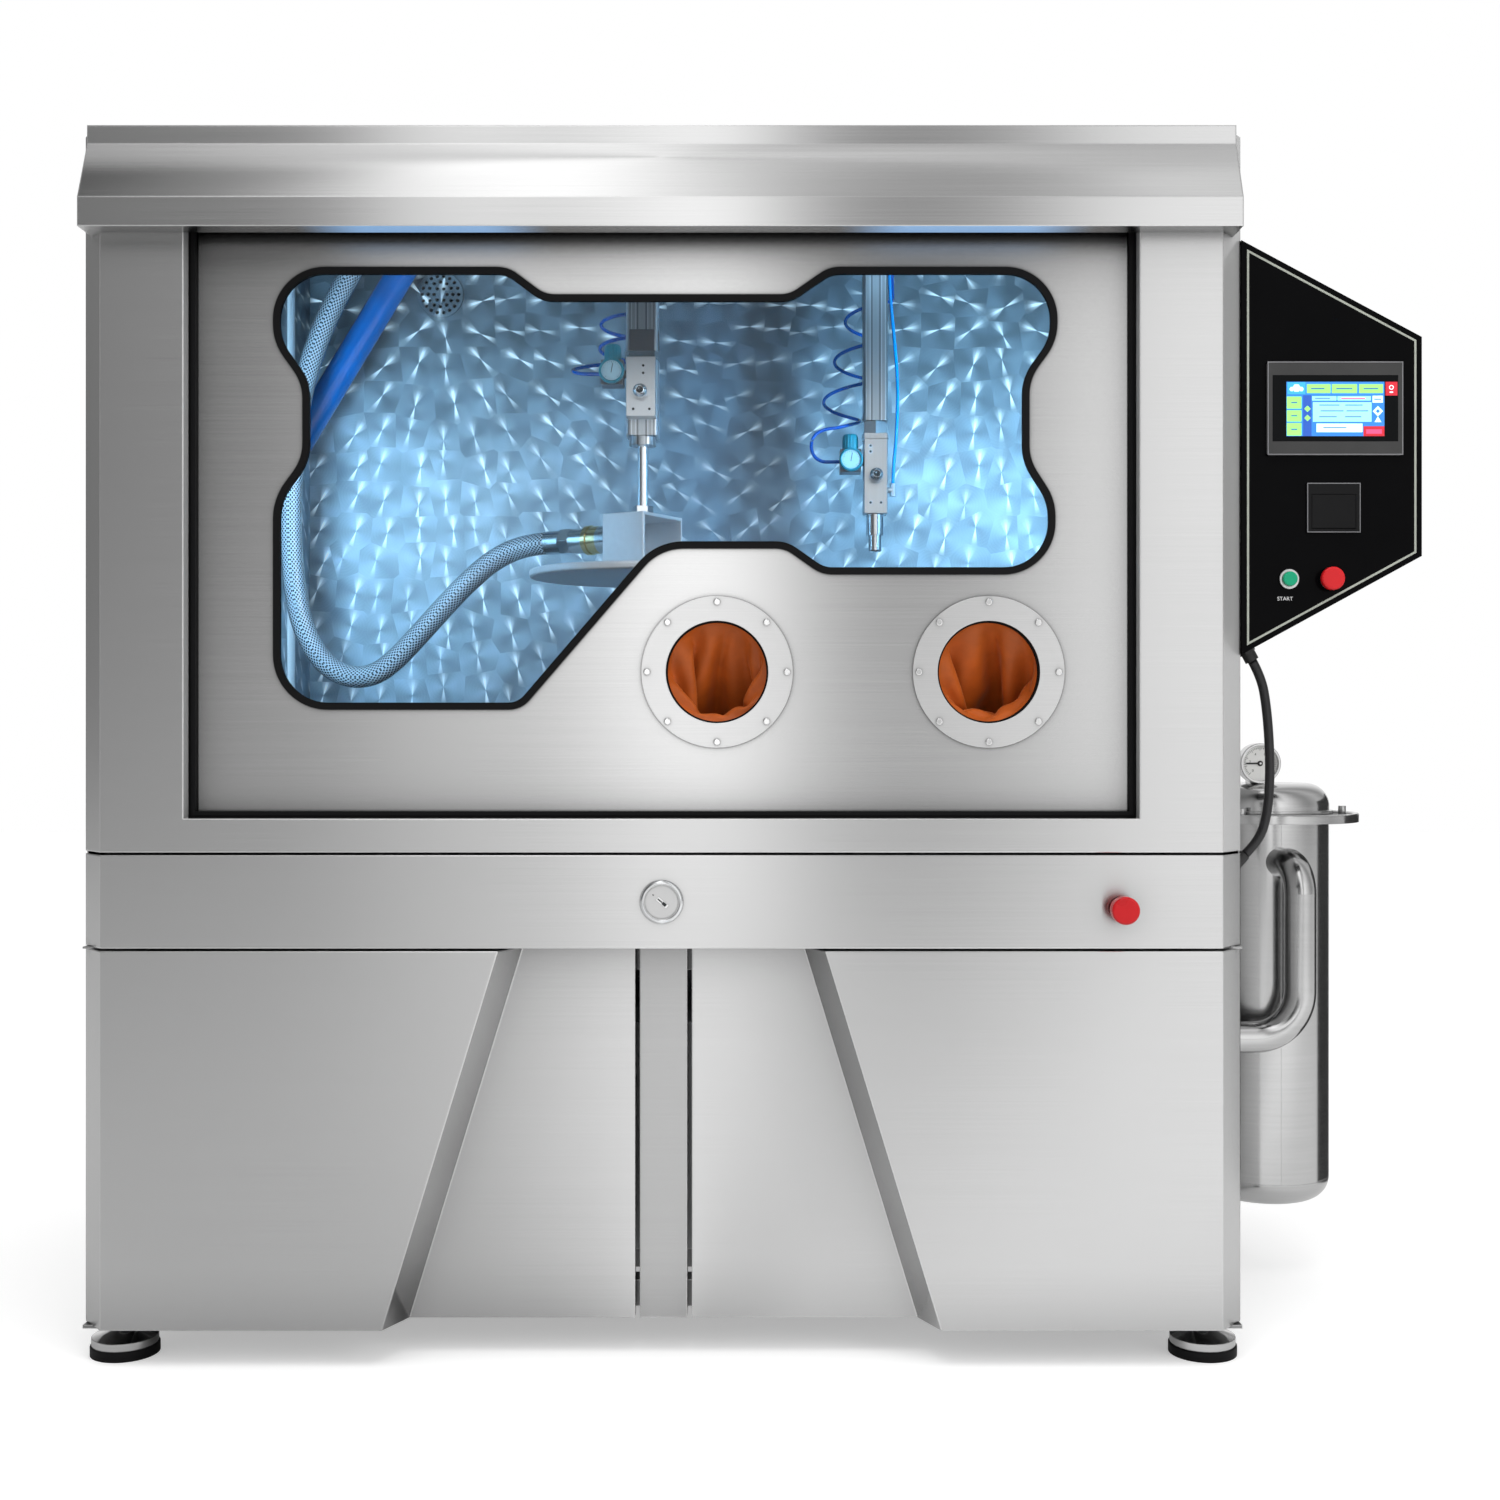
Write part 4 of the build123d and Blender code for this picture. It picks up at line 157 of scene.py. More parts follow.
# Outline with equal sides about a place: half is the way from its middle to a side
def evenOutline(x, y, half, sides):
    angle = 2 * math.pi * (np.arange(sides) + 0.5) / sides
    reach = half / math.cos(math.pi / sides)
    return np.stack([x + reach * np.cos(angle), y + reach * np.sin(angle)], axis=-1)


# Square outline with its corners cut
def cutSquare(x, y, half, cut):
    near = half - cut
    across = np.array([half, near, -near, -half, -half, -near, near, half])
    along = np.array([near, half, half, near, -near, -half, -half, -near])
    return np.stack([x + across, y + along], axis=-1)


# Points of a mesh, one in a row
def meshPoints(mesh):
    points = np.zeros(len(mesh.vertices) * 3)
    mesh.vertices.foreach_get("co", points)
    return points.reshape(-1, 3)


# Line of a route: a NURBS spline with the route's points as its control points
def routeLine(route, steps):
    points = spot(*np.array(route, float).T)
    curve = bpy.data.curves.new("route", "CURVE")
    curve.dimensions = "3D"
    curve.resolution_u = steps
    spline = curve.splines.new("NURBS")
    spline.points.add(len(points) - 1)
    spline.points.foreach_set("co", np.column_stack([points, np.ones(len(points))]).ravel())
    spline.order_u = 3
    spline.use_endpoint_u = True
    holder = bpy.data.objects.new("route", curve)
    mesh = bpy.data.meshes.new_from_object(holder)
    line = meshPoints(mesh)
    bpy.data.meshes.remove(mesh)
    bpy.data.curves.remove(curve)
    return line


# Round tube along a line: circles square to its direction, set out from one fixed side direction
def tubeAlong(name, line, diameter, sideWay, material, sides):
    heading = np.gradient(line, axis=0)
    heading /= np.linalg.norm(heading, axis=1)[:, None]
    first = np.asarray(sideWay, float) - (heading @ np.asarray(sideWay, float))[:, None] * heading
    first /= np.linalg.norm(first, axis=1)[:, None]
    second = np.cross(heading, first)
    angle = np.linspace(0, 2 * math.pi, sides, endpoint=False)
    ring = np.cos(angle)[None, :, None] * first[:, None] + np.sin(angle)[None, :, None] * second[:, None]
    points = line[:, None] + ring * diameter / 2
    count = len(line) * sides
    everything = np.concatenate([points.reshape(-1, 3), line[:1], line[-1:]])
    quads = gridFaces(len(line), sides, around=True)
    caps = np.concatenate([fanFaces(0, sides, count, True), fanFaces(count - sides, sides, count + 1)])
    piece = addPiece(name, everything, quads.tolist() + caps.tolist(), material)
    step = np.concatenate([[0], np.cumsum(np.linalg.norm(np.diff(line, axis=0), axis=1))])
    share = np.abs(np.linspace(-1, 1, sides, endpoint=False))
    uv = np.stack(np.broadcast_arrays(share[None, :], step[:, None]), axis=-1).reshape(-1, 2)
    addUv(piece, np.concatenate([uv, [[0, 0]], [[0, step[-1]]]]))
    return piece


# Material helpers. wire() links sockets or sets their values; the others add a node or two to a tree and
# give the output.
def wire(tree, node, inputs):
    for key, value in inputs.items():
        if isinstance(value, bpy.types.NodeSocket):
            tree.links.new(value, node.inputs[key])
        else:
            node.inputs[key].default_value = value


def addNode(tree, kind, inputs=None, **settings):
    made = tree.nodes.new("ShaderNode" + kind)
    for key, value in settings.items():
        setattr(made, key, value)
    wire(tree, made, inputs or {})
    return made


def startMaterial(name, look):
    material = bpy.data.materials.new(name)
    material.use_nodes = True
    tree = material.node_tree
    shader = tree.nodes["Principled BSDF"]
    wire(tree, shader, look)
    return material, tree, shader


def mathOn(tree, operation, *values):
    return addNode(tree, "Math", dict(enumerate(values)), operation=operation).outputs[0]


# One operation over several values, from the first on
def allOn(tree, operation, total, *others):
    for value in others:
        total = mathOn(tree, operation, total, value)
    return total


# Distance of a value from a middle
def offOn(tree, value, middle):
    return mathOn(tree, "ABSOLUTE", mathOn(tree, "SUBTRACT", value, middle))


def vectorOn(tree, operation, *values):
    made = addNode(tree, "VectorMath", dict(enumerate(values)), operation=operation)
    return made.outputs["Value" if operation in ("LENGTH", "DOT_PRODUCT") else "Vector"]


def scaleOn(tree, vector, level):
    return addNode(tree, "VectorMath", {0: vector, "Scale": level}, operation="SCALE").outputs[0]


def mixOn(tree, share, one, two):
    return addNode(tree, "Mix", {0: share, 6: one, 7: two}, data_type="RGBA").outputs[2]


def coordsOn(tree, source="Object"):
    return addNode(tree, "TexCoord").outputs[source]


def apartOn(tree, vector):
    return addNode(tree, "SeparateXYZ", {0: vector}).outputs


# Value carried evenly, or by a smooth step, from start and end to low and high
def spanOn(tree, value, low, high, start=0.0, end=1.0, smooth=False):
    inputs = {0: value, 1: start, 2: end, 3: low, 4: high}
    return addNode(
        tree, "MapRange", inputs, interpolation_type="SMOOTHSTEP" if smooth else "LINEAR"
    ).outputs[0]


def noiseOn(tree, stretch, detail=3.0):
    placed = addNode(tree, "Mapping", {"Vector": coordsOn(tree), "Scale": stretch}).outputs[0]
    inputs = {"Vector": placed, "Scale": 1.0, "Detail": detail, "Roughness": 0.6}
    return addNode(tree, "TexNoise", inputs).outputs[0]


def rampOn(tree, value, stops):
    made = addNode(tree, "ValToRGB", {0: value})
    elements = made.color_ramp.elements
    while len(elements) < len(stops):
        elements.new(0.5)
    for element, (place, colour) in zip(elements, stops):
        element.position = place
        element.color = (*colour, 1)
    return made.outputs[0]


# Normal with rounded edges
def roundOn(tree, edge, samples=3):
    return addNode(tree, "Bevel", {"Radius": edge}, samples=samples).outputs[0]


# Normal with a bump, over rounded edges where there are some
def bumpOn(tree, height, strength, depth, rounded=None):
    inputs = {"Height": height, "Strength": strength, "Distance": depth}
    if rounded is not None:
        inputs["Normal"] = rounded
    return addNode(tree, "Bump", inputs).outputs[0]


# The same level three times, as a grey or a scale
def even(level):
    return (level,) * 3


# Colour times a share, no channel above 1
def shade(colour, share):
    return tuple(min(1.0, channel * share) for channel in colour)


# Colour and roughness that one noise makes a little uneven
def unevenOn(tree, shader, noise, tint, shares, rough):
    colour = rampOn(tree, noise, [(place, shade(tint, share)) for place, share in zip((0.3, 0.7), shares)])
    wire(tree, shader, {"Base Color": colour, "Roughness": spanOn(tree, noise, *rough)})
    return colour


# Brushed sheet: streaks finer than a millimetre along the grain in colour, roughness and bump, and slow
# clouds over them. Painted shade: the colour darkens where another sheet stands close (ambient occlusion).
# Painted highlight: folds are lightened to thin bright lines, where the rounded normal leaves the flat one
sheet = {
    "clouds": (1.6, 1.6, 1.1),
    "roughSpread": 0.03,
    "groove": 0.0006,
    "fold": 0.6,
    "foldBend": (0.995, 0.9),
    "foldHighlightTone": (0.97, 0.97, 0.97, 1),
}


def brushedSteel(
    name, tint, rough, grain, edge=0.003, bump=0.02, cloud=0.03, streak=0.05, close=0.3, around=0.15
):
    look = {"Metallic": 1.0, "Anisotropic": 0.94, "Anisotropic Rotation": 0.25}
    material, tree, shader = startMaterial(name, look)
    fine = noiseOn(tree, grain, 4.0)
    weight = streak / cloud
    mixed = mathOn(tree, "MULTIPLY_ADD", fine, weight, noiseOn(tree, sheet["clouds"], 2.0))
    ends = [(0.25, shade(tint, 1 - streak - cloud)), (0.75, shade(tint, 1 + streak + cloud))]
    plain = rampOn(tree, mathOn(tree, "DIVIDE", mixed, 1 + weight), ends)
    # painted shade: ambient occlusion darkens the colour near other sheets
    aoPaintedShade = addNode(tree, "AmbientOcclusion", {"Distance": around}, samples=8).outputs["AO"]
    paintedShadeColour = scaleOn(tree, plain, spanOn(tree, aoPaintedShade, close, 1.0))
    rounded = roundOn(tree, edge, 6)
    # painted highlight: the colour is lightened where the rounded normal leaves the flat one
    meet = vectorOn(tree, "DOT_PRODUCT", rounded, addNode(tree, "NewGeometry").outputs["Normal"])
    paintedFoldHighlight = spanOn(tree, meet, 0.0, sheet["fold"], *sheet["foldBend"])
    spread = sheet["roughSpread"]
    wire(tree, shader, {
        "Base Color": mixOn(tree, paintedFoldHighlight, paintedShadeColour, sheet["foldHighlightTone"]),
        "Roughness": spanOn(tree, fine, rough - spread, rough + spread),
        "Normal": bumpOn(tree, fine, bump, sheet["groove"], rounded),
    })
    return material


# Satin or polished metal with faint marks
def plainMetal(name, tint, rough, marks, bump=0.03, edge=0.0012, metal=1.0):
    material, tree, shader = startMaterial(name, {"Metallic": metal})
    fine = noiseOn(tree, marks)
    unevenOn(tree, shader, fine, tint, (0.93, 1.0), (rough - 0.04, rough + 0.05))
    wire(tree, shader, {"Normal": bumpOn(tree, fine, bump, 0.0004, roundOn(tree, edge))})
    return material


# Moulded plastic, rubber or paint: fine pitting, and colour a little uneven
def moulded(name, tint, rough, grain=900.0, bump=0.08, coat=0.0, shine=0.5):
    look = {"Coat Weight": coat, "Coat Roughness": 0.08, "Specular IOR Level": shine}
    material, tree, shader = startMaterial(name, look)
    pits = noiseOn(tree, even(grain), 2.0)
    unevenOn(tree, shader, noiseOn(tree, even(14)), tint, (0.88, 1.12), (rough - 0.05, rough + 0.06))
    wire(tree, shader, {"Normal": bumpOn(tree, pits, bump, 0.0003, roundOn(tree, 0.001))})
    return material


# Engine-turned sheet: spots of circular brushing, side by side; round each spot's middle the grain runs in
# circles, which sets the tangent. Painted highlights: a streak through each spot is painted into the colour
# and a faint emission, pointing at the nearer of two fixed lamp places, wide on the lamp's side, thin beyond.
# Painted light and shade: sheet and streaks are painted brighter near those places, the sheet darker towards
# the top, with faint painted fans of sheen round each spot; its blue tint stands partly for the blue lamp
# light. Places are in the wall's own plane, in metres: along it (acrossAxis) and up.
swirl = {
    "pitch": 0.061,
    "loose": 0.5,
    "near": (0.36, 0.46, 0.53),
    "far": (0.12, 0.22, 0.32),
    "paintedTopShade": (0.42, 1.40, 1.70),
    "bright": (0.97, 1.0, 1.0, 1),
    "lampsBack": ((-0.61, 1.70), (0.42, 1.70)),
    "lampsSide": ((-0.17, 1.77), (0.9, 1.77)),
    "wide": (0.88, 1.0),
    "thin": (0.975, 0.9999),
    "streaks": ((1.0, "wide", 0.5), (1.0, "thin", 1.0), (-1.0, "thin", 0.85)),
    "streakNear": (0.35, 1.0),
    "streakChance": (0.45, 1.15),
    "streakRim": (0.1, 1.0, 0.56, 0.2),
    "reach": (0.72, 0.06),
    "squeeze": (1.0, 0.5, 0.0),
    "glow": (0.62, 0.86, 1.0, 1),
    "glowLevel": 0.55,
    "glowNear": (0.25, 1.0),
    "drop": 0.2,
    "rough": 0.4,
    "rings": 11,
    "ringLevel": 0.02,
    "fan": (0.2, 0.93),
    "fanTurn": 6.3,
    "patches": even(11.0),
    "patchLevel": (0.35, 1.65),
}


def swirlSteel(name, acrossAxis, lamps):
    look = {"Metallic": 0.25, "Anisotropic": 0.5, "Roughness": swirl["rough"]}
    material, tree, shader = startMaterial(name, look)
    apart = apartOn(tree, coordsOn(tree))
    flat = addNode(tree, "CombineXYZ", {0: apart[acrossAxis], 1: apart[2]}).outputs[0]
    pattern = {"Vector": flat, "Scale": 1 / swirl["pitch"], "Randomness": swirl["loose"]}
    spots = addNode(tree, "TexVoronoi", pattern, voronoi_dimensions="2D").outputs
    offset = vectorOn(tree, "SUBTRACT", flat, spots["Position"])
    fromMiddle = apartOn(tree, offset)
    acrossGrain = addNode(tree, "CombineXYZ", {acrossAxis: fromMiddle[0], 2: fromMiddle[1]}).outputs[0]
    ways, fars, reaches = [], [], []
    for lamp in lamps:
        toLamp = vectorOn(tree, "SUBTRACT", (*lamp, 0.0), spots["Position"])
        ways.append(vectorOn(tree, "NORMALIZE", toLamp))
        fars.append(vectorOn(tree, "LENGTH", toLamp))
        here = vectorOn(tree, "SUBTRACT", flat, (lamp[0], lamp[1] - swirl["drop"], 0.0))
        reaches.append(vectorOn(tree, "LENGTH", vectorOn(tree, "MULTIPLY", here, swirl["squeeze"])))
    second = mathOn(tree, "LESS_THAN", fars[1], fars[0])
    way = addNode(tree, "Mix", {0: second, 4: ways[0], 5: ways[1]}, data_type="VECTOR").outputs[1]
    aligned = vectorOn(tree, "DOT_PRODUCT", vectorOn(tree, "NORMALIZE", offset), way)
    # painted highlight: a streak through each spot towards the nearer lamp place
    streaks = [
        spanOn(tree, mathOn(tree, "MULTIPLY", aligned, side), 0.0, share, *swirl[band], smooth=True)
        for side, band, share in swirl["streaks"]
    ]
    chance = addNode(tree, "SeparateColor", {0: spots["Color"]}).outputs
    close = spanOn(tree, mathOn(tree, "MINIMUM", *reaches), 0.0, 1.0, *swirl["reach"], smooth=True)
    nearness = spanOn(tree, close, *swirl["streakNear"])
    lit = mathOn(tree, "MULTIPLY", nearness, spanOn(tree, chance[0], *swirl["streakChance"]))
    rim = spanOn(tree, spots["Distance"], *swirl["streakRim"], smooth=True)
    streak = allOn(tree, "MULTIPLY", allOn(tree, "MAXIMUM", *streaks), lit, rim)
    # painted sheen: faint fans round each spot's middle
    around = mathOn(tree, "ARCTAN2", fromMiddle[1], fromMiddle[0])
    turn = mathOn(tree, "MULTIPLY_ADD", chance[1], swirl["fanTurn"], mathOn(tree, "MULTIPLY", around, 2.0))
    fan = mathOn(tree, "MULTIPLY_ADD", mathOn(tree, "COSINE", turn), *swirl["fan"])
    rings = mathOn(tree, "SINE", mathOn(tree, "MULTIPLY", spots["Distance"], 2 * math.pi * swirl["rings"]))
    patch = spanOn(tree, noiseOn(tree, swirl["patches"], 2.0), *swirl["patchLevel"])
    # painted shade: the wall darker towards the top
    shadow = spanOn(tree, apart[2], 1.0, *swirl["paintedTopShade"])
    worked = mathOn(tree, "MULTIPLY_ADD", rings, swirl["ringLevel"], fan)
    tone = mathOn(tree, "MULTIPLY", worked, mathOn(tree, "MULTIPLY", patch, shadow))
    # painted light: the ground colour brighter near the lamp places
    ground = rampOn(tree, close, [(0.0, swirl["far"]), (1.0, swirl["near"])])
    # painted glow: the streaks emit, more near the lamp places
    gleam = mathOn(tree, "MULTIPLY", streak, spanOn(tree, close, *swirl["glowNear"]))
    wire(tree, shader, {
        "Tangent": acrossGrain,
        "Base Color": mixOn(tree, streak, scaleOn(tree, ground, tone), swirl["bright"]),
        "Emission Color": swirl["glow"],
        "Emission Strength": mathOn(tree, "MULTIPLY", gleam, swirl["glowLevel"]),
    })
    return material


# Clear glass, a little smeared
def clearGlass(name):
    look = {"Base Color": (0.96, 0.985, 1, 1), "Transmission Weight": 1.0, "IOR": 1.2}
    material, tree, shader = startMaterial(name, look)
    wire(tree, shader, {"Roughness": spanOn(tree, noiseOn(tree, even(9)), 0.0, 0.02)})
    return material


# Light-diffusing lens of the lamps
def lampLens(name, colour, strength):
    look = {"Base Color": (0.9, 0.95, 1, 1), "Emission Color": (*colour, 1), "Roughness": 0.4}
    material, tree, shader = startMaterial(name, look)
    ribs = noiseOn(tree, (3, 160, 160), 1.0)
    wire(tree, shader, {"Emission Strength": spanOn(tree, ribs, strength * 0.9, strength * 1.1)})
    return material


# Clear hose with a woven white braid: two sets of slanting threads on the hose's own map. Painted shade:
# the colour darkens towards the hose's edges as seen, by Layer Weight facing
braid = {
    "threads": 20,
    "perMetre": 130.0,
    "tones": [(0.58, (0.035, 0.05, 0.065)), (0.92, (0.46, 0.53, 0.60))],
    "edgeShade": (1.15, 0.25),
}


def braidedHose(name):
    look = {"Roughness": 0.14, "Transmission Weight": 0.3, "IOR": 1.3, "Coat Weight": 1.0}
    material, tree, shader = startMaterial(name, look)
    apart = apartOn(tree, coordsOn(tree, "UV"))
    turns = mathOn(tree, "MULTIPLY", apart[0], math.pi * braid["threads"])
    along = mathOn(tree, "MULTIPLY", apart[1], 2 * math.pi * braid["perMetre"])
    sets = [mathOn(tree, "SINE", mathOn(tree, lean, turns, along)) for lean in ("ADD", "SUBTRACT")]
    weave = mathOn(tree, "MULTIPLY_ADD", mathOn(tree, "MAXIMUM", *sets), 0.5, 0.5)
    # painted shade: facing darkens the colour towards the edges
    facing = addNode(tree, "LayerWeight", {"Blend": 0.45}).outputs["Facing"]
    threads = rampOn(tree, weave, braid["tones"])
    wire(tree, shader, {
        "Base Color": scaleOn(tree, threads, spanOn(tree, facing, *braid["edgeShade"])),
        "Normal": bumpOn(tree, weave, 0.25, 0.0008),
    })
    return material


# Soft tube: gloss plastic, a little see-through
def tubePlastic(name, tint, rough=0.22, see=0.15):
    look = {"Transmission Weight": see, "IOR": 1.45, "Coat Weight": 0.4}
    material, tree, shader = startMaterial(name, look)
    unevenOn(tree, shader, noiseOn(tree, even(30), 2.0), tint, (0.85, 1.12), (rough - 0.05, rough + 0.08))
    return material


# Coated glove cloth: soft sheen, fine weave, and colour and roughness a little uneven by noise
def gloveCloth(name, tint):
    look = {"Sheen Weight": 0.25, "Sheen Roughness": 0.4, "Sheen Tint": (1, 0.7, 0.45, 1)}
    material, tree, shader = startMaterial(name, look)
    unevenOn(tree, shader, noiseOn(tree, even(26)), tint, (0.82, 1.1), (0.5, 0.66))
    wire(tree, shader, {"Normal": bumpOn(tree, noiseOn(tree, even(1400), 1.0), 0.12, 0.0002)})
    return material


# Flat colours from the mesh's own attribute: the screen's picture, the dials' print, and the painted shade
# and glints of holes, slots and mouths
def paintedFace(name, glow):
    material, tree, shader = startMaterial(name, {"Roughness": 0.35})
    colour = addNode(tree, "Attribute", attribute_name="tileColour").outputs["Color"]
    toned = scaleOn(tree, colour, spanOn(tree, noiseOn(tree, even(700), 1.0), 0.94, 1.06))
    wire(tree, shader, {"Base Color": toned})
    if glow:
        wire(tree, shader, {"Emission Color": toned, "Emission Strength": glow})
    return material


# Drawn barrel: bright and dark lines down it, by the distance from its middle: they draw the profile's
# grooves and lips, and its bright lines are also painted highlights, reflections as seen from the front
barrel = {
    "middles": (-0.208, 0.185),
    "lines": (
        (0.0, 0.62), (0.20, 0.66), (0.26, 0.30), (0.34, 0.34), (0.40, 0.95), (0.46, 0.60), (0.62, 0.52),
        (0.70, 0.92), (0.76, 0.45), (0.90, 0.5), (1.0, 0.95),
    ),
    "half": 0.024,
}


def barrelSteel(name, tint, rough):
    material, tree, shader = startMaterial(name, {"Metallic": 0.85, "Roughness": rough})
    along = apartOn(tree, coordsOn(tree))[0]
    offs = [offOn(tree, along, middle) for middle in barrel["middles"]]
    off = mathOn(tree, "DIVIDE", mathOn(tree, "MINIMUM", *offs), barrel["half"])
    groovesAndHighlights = rampOn(tree, off, [(place, shade(tint, tone)) for place, tone in barrel["lines"]])
    fine = noiseOn(tree, (900, 900, 6))
    wire(tree, shader, {
        "Base Color": scaleOn(tree, groovesAndHighlights, spanOn(tree, fine, 0.9, 1.1)),
        "Normal": roundOn(tree, 0.0015),
    })
    return material


# Chrome fitting with a brass band, by the distance out from the press along the fitting's axis
fitting = {"way": (-0.866, 0.5, 0.0), "start": 0.1401, "band": (0.082, 0.112), "brass": (0.72, 0.58, 0.3, 1)}


def fittingMetal(name, tint, rough):
    material, tree, shader = startMaterial(name, {"Metallic": 1.0})
    out = vectorOn(tree, "DOT_PRODUCT", coordsOn(tree), fitting["way"])
    low, high = (fitting["start"] + place for place in fitting["band"])
    inBand = mathOn(
        tree, "MULTIPLY", mathOn(tree, "GREATER_THAN", out, low), mathOn(tree, "LESS_THAN", out, high)
    )
    fine = noiseOn(tree, even(260))
    plain = unevenOn(tree, shader, fine, tint, (0.9, 1.0), (rough - 0.04, rough + 0.06))
    colour = mixOn(tree, inBand, plain, fitting["brass"])
    wire(tree, shader, {"Base Color": colour, "Normal": roundOn(tree, 0.001)})
    return material


# Gives a finish to the named solids
def dress(names, material):
    for name in names.split():
        nodes[name].data.materials.clear()
        nodes[name].data.materials.append(material)
    return material


levelGrain = (2.0, 1000, 1000)
dress("drawer_front left_door right_door", brushedSteel("brushedSteel", even(0.60), 0.2, levelGrain))
# The door's steel has stronger, wider painted shade by ambient occlusion, for the shade under the hood
dress("door_panel", brushedSteel("doorSteel", even(0.645), 0.2, levelGrain, close=-0.35, around=0.3))
dress("outer_panels", brushedSteel("panelSteel", even(0.60), 0.38, levelGrain))
# The centre post's steel is a darker copy of the others: painted shade for the shade it stands in
dress("centre_post", brushedSteel("postSteelShaded", even(0.43), 0.2, levelGrain))
hoodSteel = dress("hood", brushedSteel("hoodSteel", even(0.60), 0.2, levelGrain))
frontSteel = dress("front_frame", brushedSteel("frontFrameSteel", even(0.60), 0.24, levelGrain))
dress(
    "cabinet_frame door_guides door_pivots drawer_slides lift_cylinders",
    brushedSteel("frameTube", even(0.42), 0.42, even(60), bump=0.08),
)
dress("chamber_floor drawer_box", brushedSteel("chamberFloorSteel", (0.55, 0.58, 0.61), 0.3, (200, 3, 200)))
dress(
    "glove_rings drawer_hardware lock_core button_bezels",
    brushedSteel("ringSteel", even(0.72), 0.3, (6, 900, 900), edge=0.0012, cloud=0.06),
)
dress("water_tank", brushedSteel("tankSteel", (0.48, 0.49, 0.5), 0.4, (4, 4, 200)))
dress("chamber_back_wall air_vent", swirlSteel("engineTurnedBack", 0, swirl["lampsBack"]))
dress("chamber_walls", swirlSteel("engineTurnedSide", 1, swirl["lampsSide"]))
dress(
    "canister_body canister_lid canister_pipe foot_stems canister_gauge",
    plainMetal("polishedSteel", even(0.56), 0.15, (5, 5, 260), bump=0.02, edge=0.002),
)
dress("ring_screws", plainMetal("screwSteel", even(0.82), 0.14, even(500)))
dress("press_rod lift_rods spray_nozzle", plainMetal("groundRod", (0.75, 0.76, 0.78), 0.13, (300, 300, 12)))
dress("air_cylinders", barrelSteel("drawnBarrel", (0.72, 0.76, 0.80), 0.3))
dress("hose_coupling", fittingMetal("couplingChrome", (0.66, 0.70, 0.72), 0.18))
dress(
    "press_fixture", plainMetal("fixtureSteel", (0.66, 0.70, 0.74), 0.42, even(120), edge=0.003, metal=0.5)
)
darkMetal = dress("regulators", plainMetal("regulatorMetal", (0.16, 0.17, 0.19), 0.35, even(220)))
anodised = plainMetal("anodisedAluminium", (0.70, 0.73, 0.76), 0.36, (220, 220, 4))
trimSteel = plainMetal("trimSteel", (0.85, 0.9, 0.94), 0.5, (300, 300, 5), metal=0.4)
chrome = plainMetal("chrome", (0.74, 0.75, 0.76), 0.12, even(200))
rubber = dress(
    "door_seal window_seal foot_pads", moulded("blackRubber", (0.004, 0.004, 0.0045), 0.55, shine=0.15)
)
dress("window_glass", clearGlass("windowGlass"))
dress("light_bars", lampLens("lampLens", (0.45, 0.75, 1.0), 2.5))
dress("control_face", moulded("glossBlackPanel", (0.002, 0.002, 0.0023), 0.16, 300.0, 0.01, shine=0.03))
dress("control_box", moulded("boxBlack", (0.014, 0.014, 0.015), 0.3, 500.0, 0.1))
dress("hmi_bezel", moulded("bezelGrey", even(0.042), 0.38, shine=0.25))
dress("printer_body printer_lid", moulded("printerBlack", (0.007, 0.007, 0.0075), 0.34, shine=0.1))
screenGlass = dress(
    "hmi_screen", moulded("screenGlass", (0.003, 0.0035, 0.004), 0.08, 200.0, 0.0, shine=0.06)
)
dress("start_button", moulded("greenCap", (0.0, 0.33, 0.165), 0.25, coat=0.12, shine=0.25))
dress("stop_button estop_button", moulded("redCap", (0.55, 0.008, 0.012), 0.28, coat=0.12, shine=0.25))
dress("cable_glands", moulded("glandBlack", even(0.012), 0.42))
dress("pump_set", moulded("pumpPaint", (0.02, 0.07, 0.2), 0.32, 400.0, 0.1, coat=0.3))
needleAndShadeBlack = dress("gauge_needle", moulded("needleAndShadeBlack", even(0.01), 0.5))
cableSheath = moulded("cableSheath", (0.01, 0.01, 0.011), 0.36, 600.0, 0.06)
teal = moulded("tealPlastic", (0.01, 0.19, 0.26), 0.3, coat=0.3)
borderLine = moulded("borderLine", (0.36, 0.38, 0.33), 0.4)
labelWhite = moulded("labelWhite", even(0.75), 0.45)
edgeHighlightGrey = moulded("edgeHighlightGrey", (0.2, 0.2, 0.21), 0.35)
hoseBraid = braidedHose("clearBraidedHose")
airBlue = tubePlastic("airTubeBlue", (0.006, 0.09, 0.42))
airCyan = tubePlastic("airTubeCyan", (0.0, 0.26, 0.68))
hoseBlue = tubePlastic("blueHose", (0.0, 0.105, 0.36), 0.2, 0.0)
gloveOrange = gloveCloth("orangeGlove", (0.50, 0.10, 0.006))
screenGlow = paintedFace("screenGlow", 0.9)
printAndPaintedShade = paintedFace("printAndPaintedShade", 0.0)

# Under the hood: a painted blue glow, an emission on the hood's underside in front of each light bar, stands
# for the light that leaks over the door
hoodPaintedGlow = {
    "colour": (0.25, 0.55, 1.0, 1),
    "strength": 0.55,
    "facing": (-0.8, -0.95),
    "middles": (-0.50, 0.28),
    "reach": (0.19, 0.076),
}
tree = hoodSteel.node_tree
facing = apartOn(tree, addNode(tree, "NewGeometry").outputs["Normal"])[2]
below = spanOn(tree, facing, 0.0, 1.0, *hoodPaintedGlow["facing"])
along = apartOn(tree, coordsOn(tree))[0]
leaks = [
    spanOn(tree, offOn(tree, along, middle), 0.0, 1.0, *hoodPaintedGlow["reach"], smooth=True)
    for middle in hoodPaintedGlow["middles"]
]
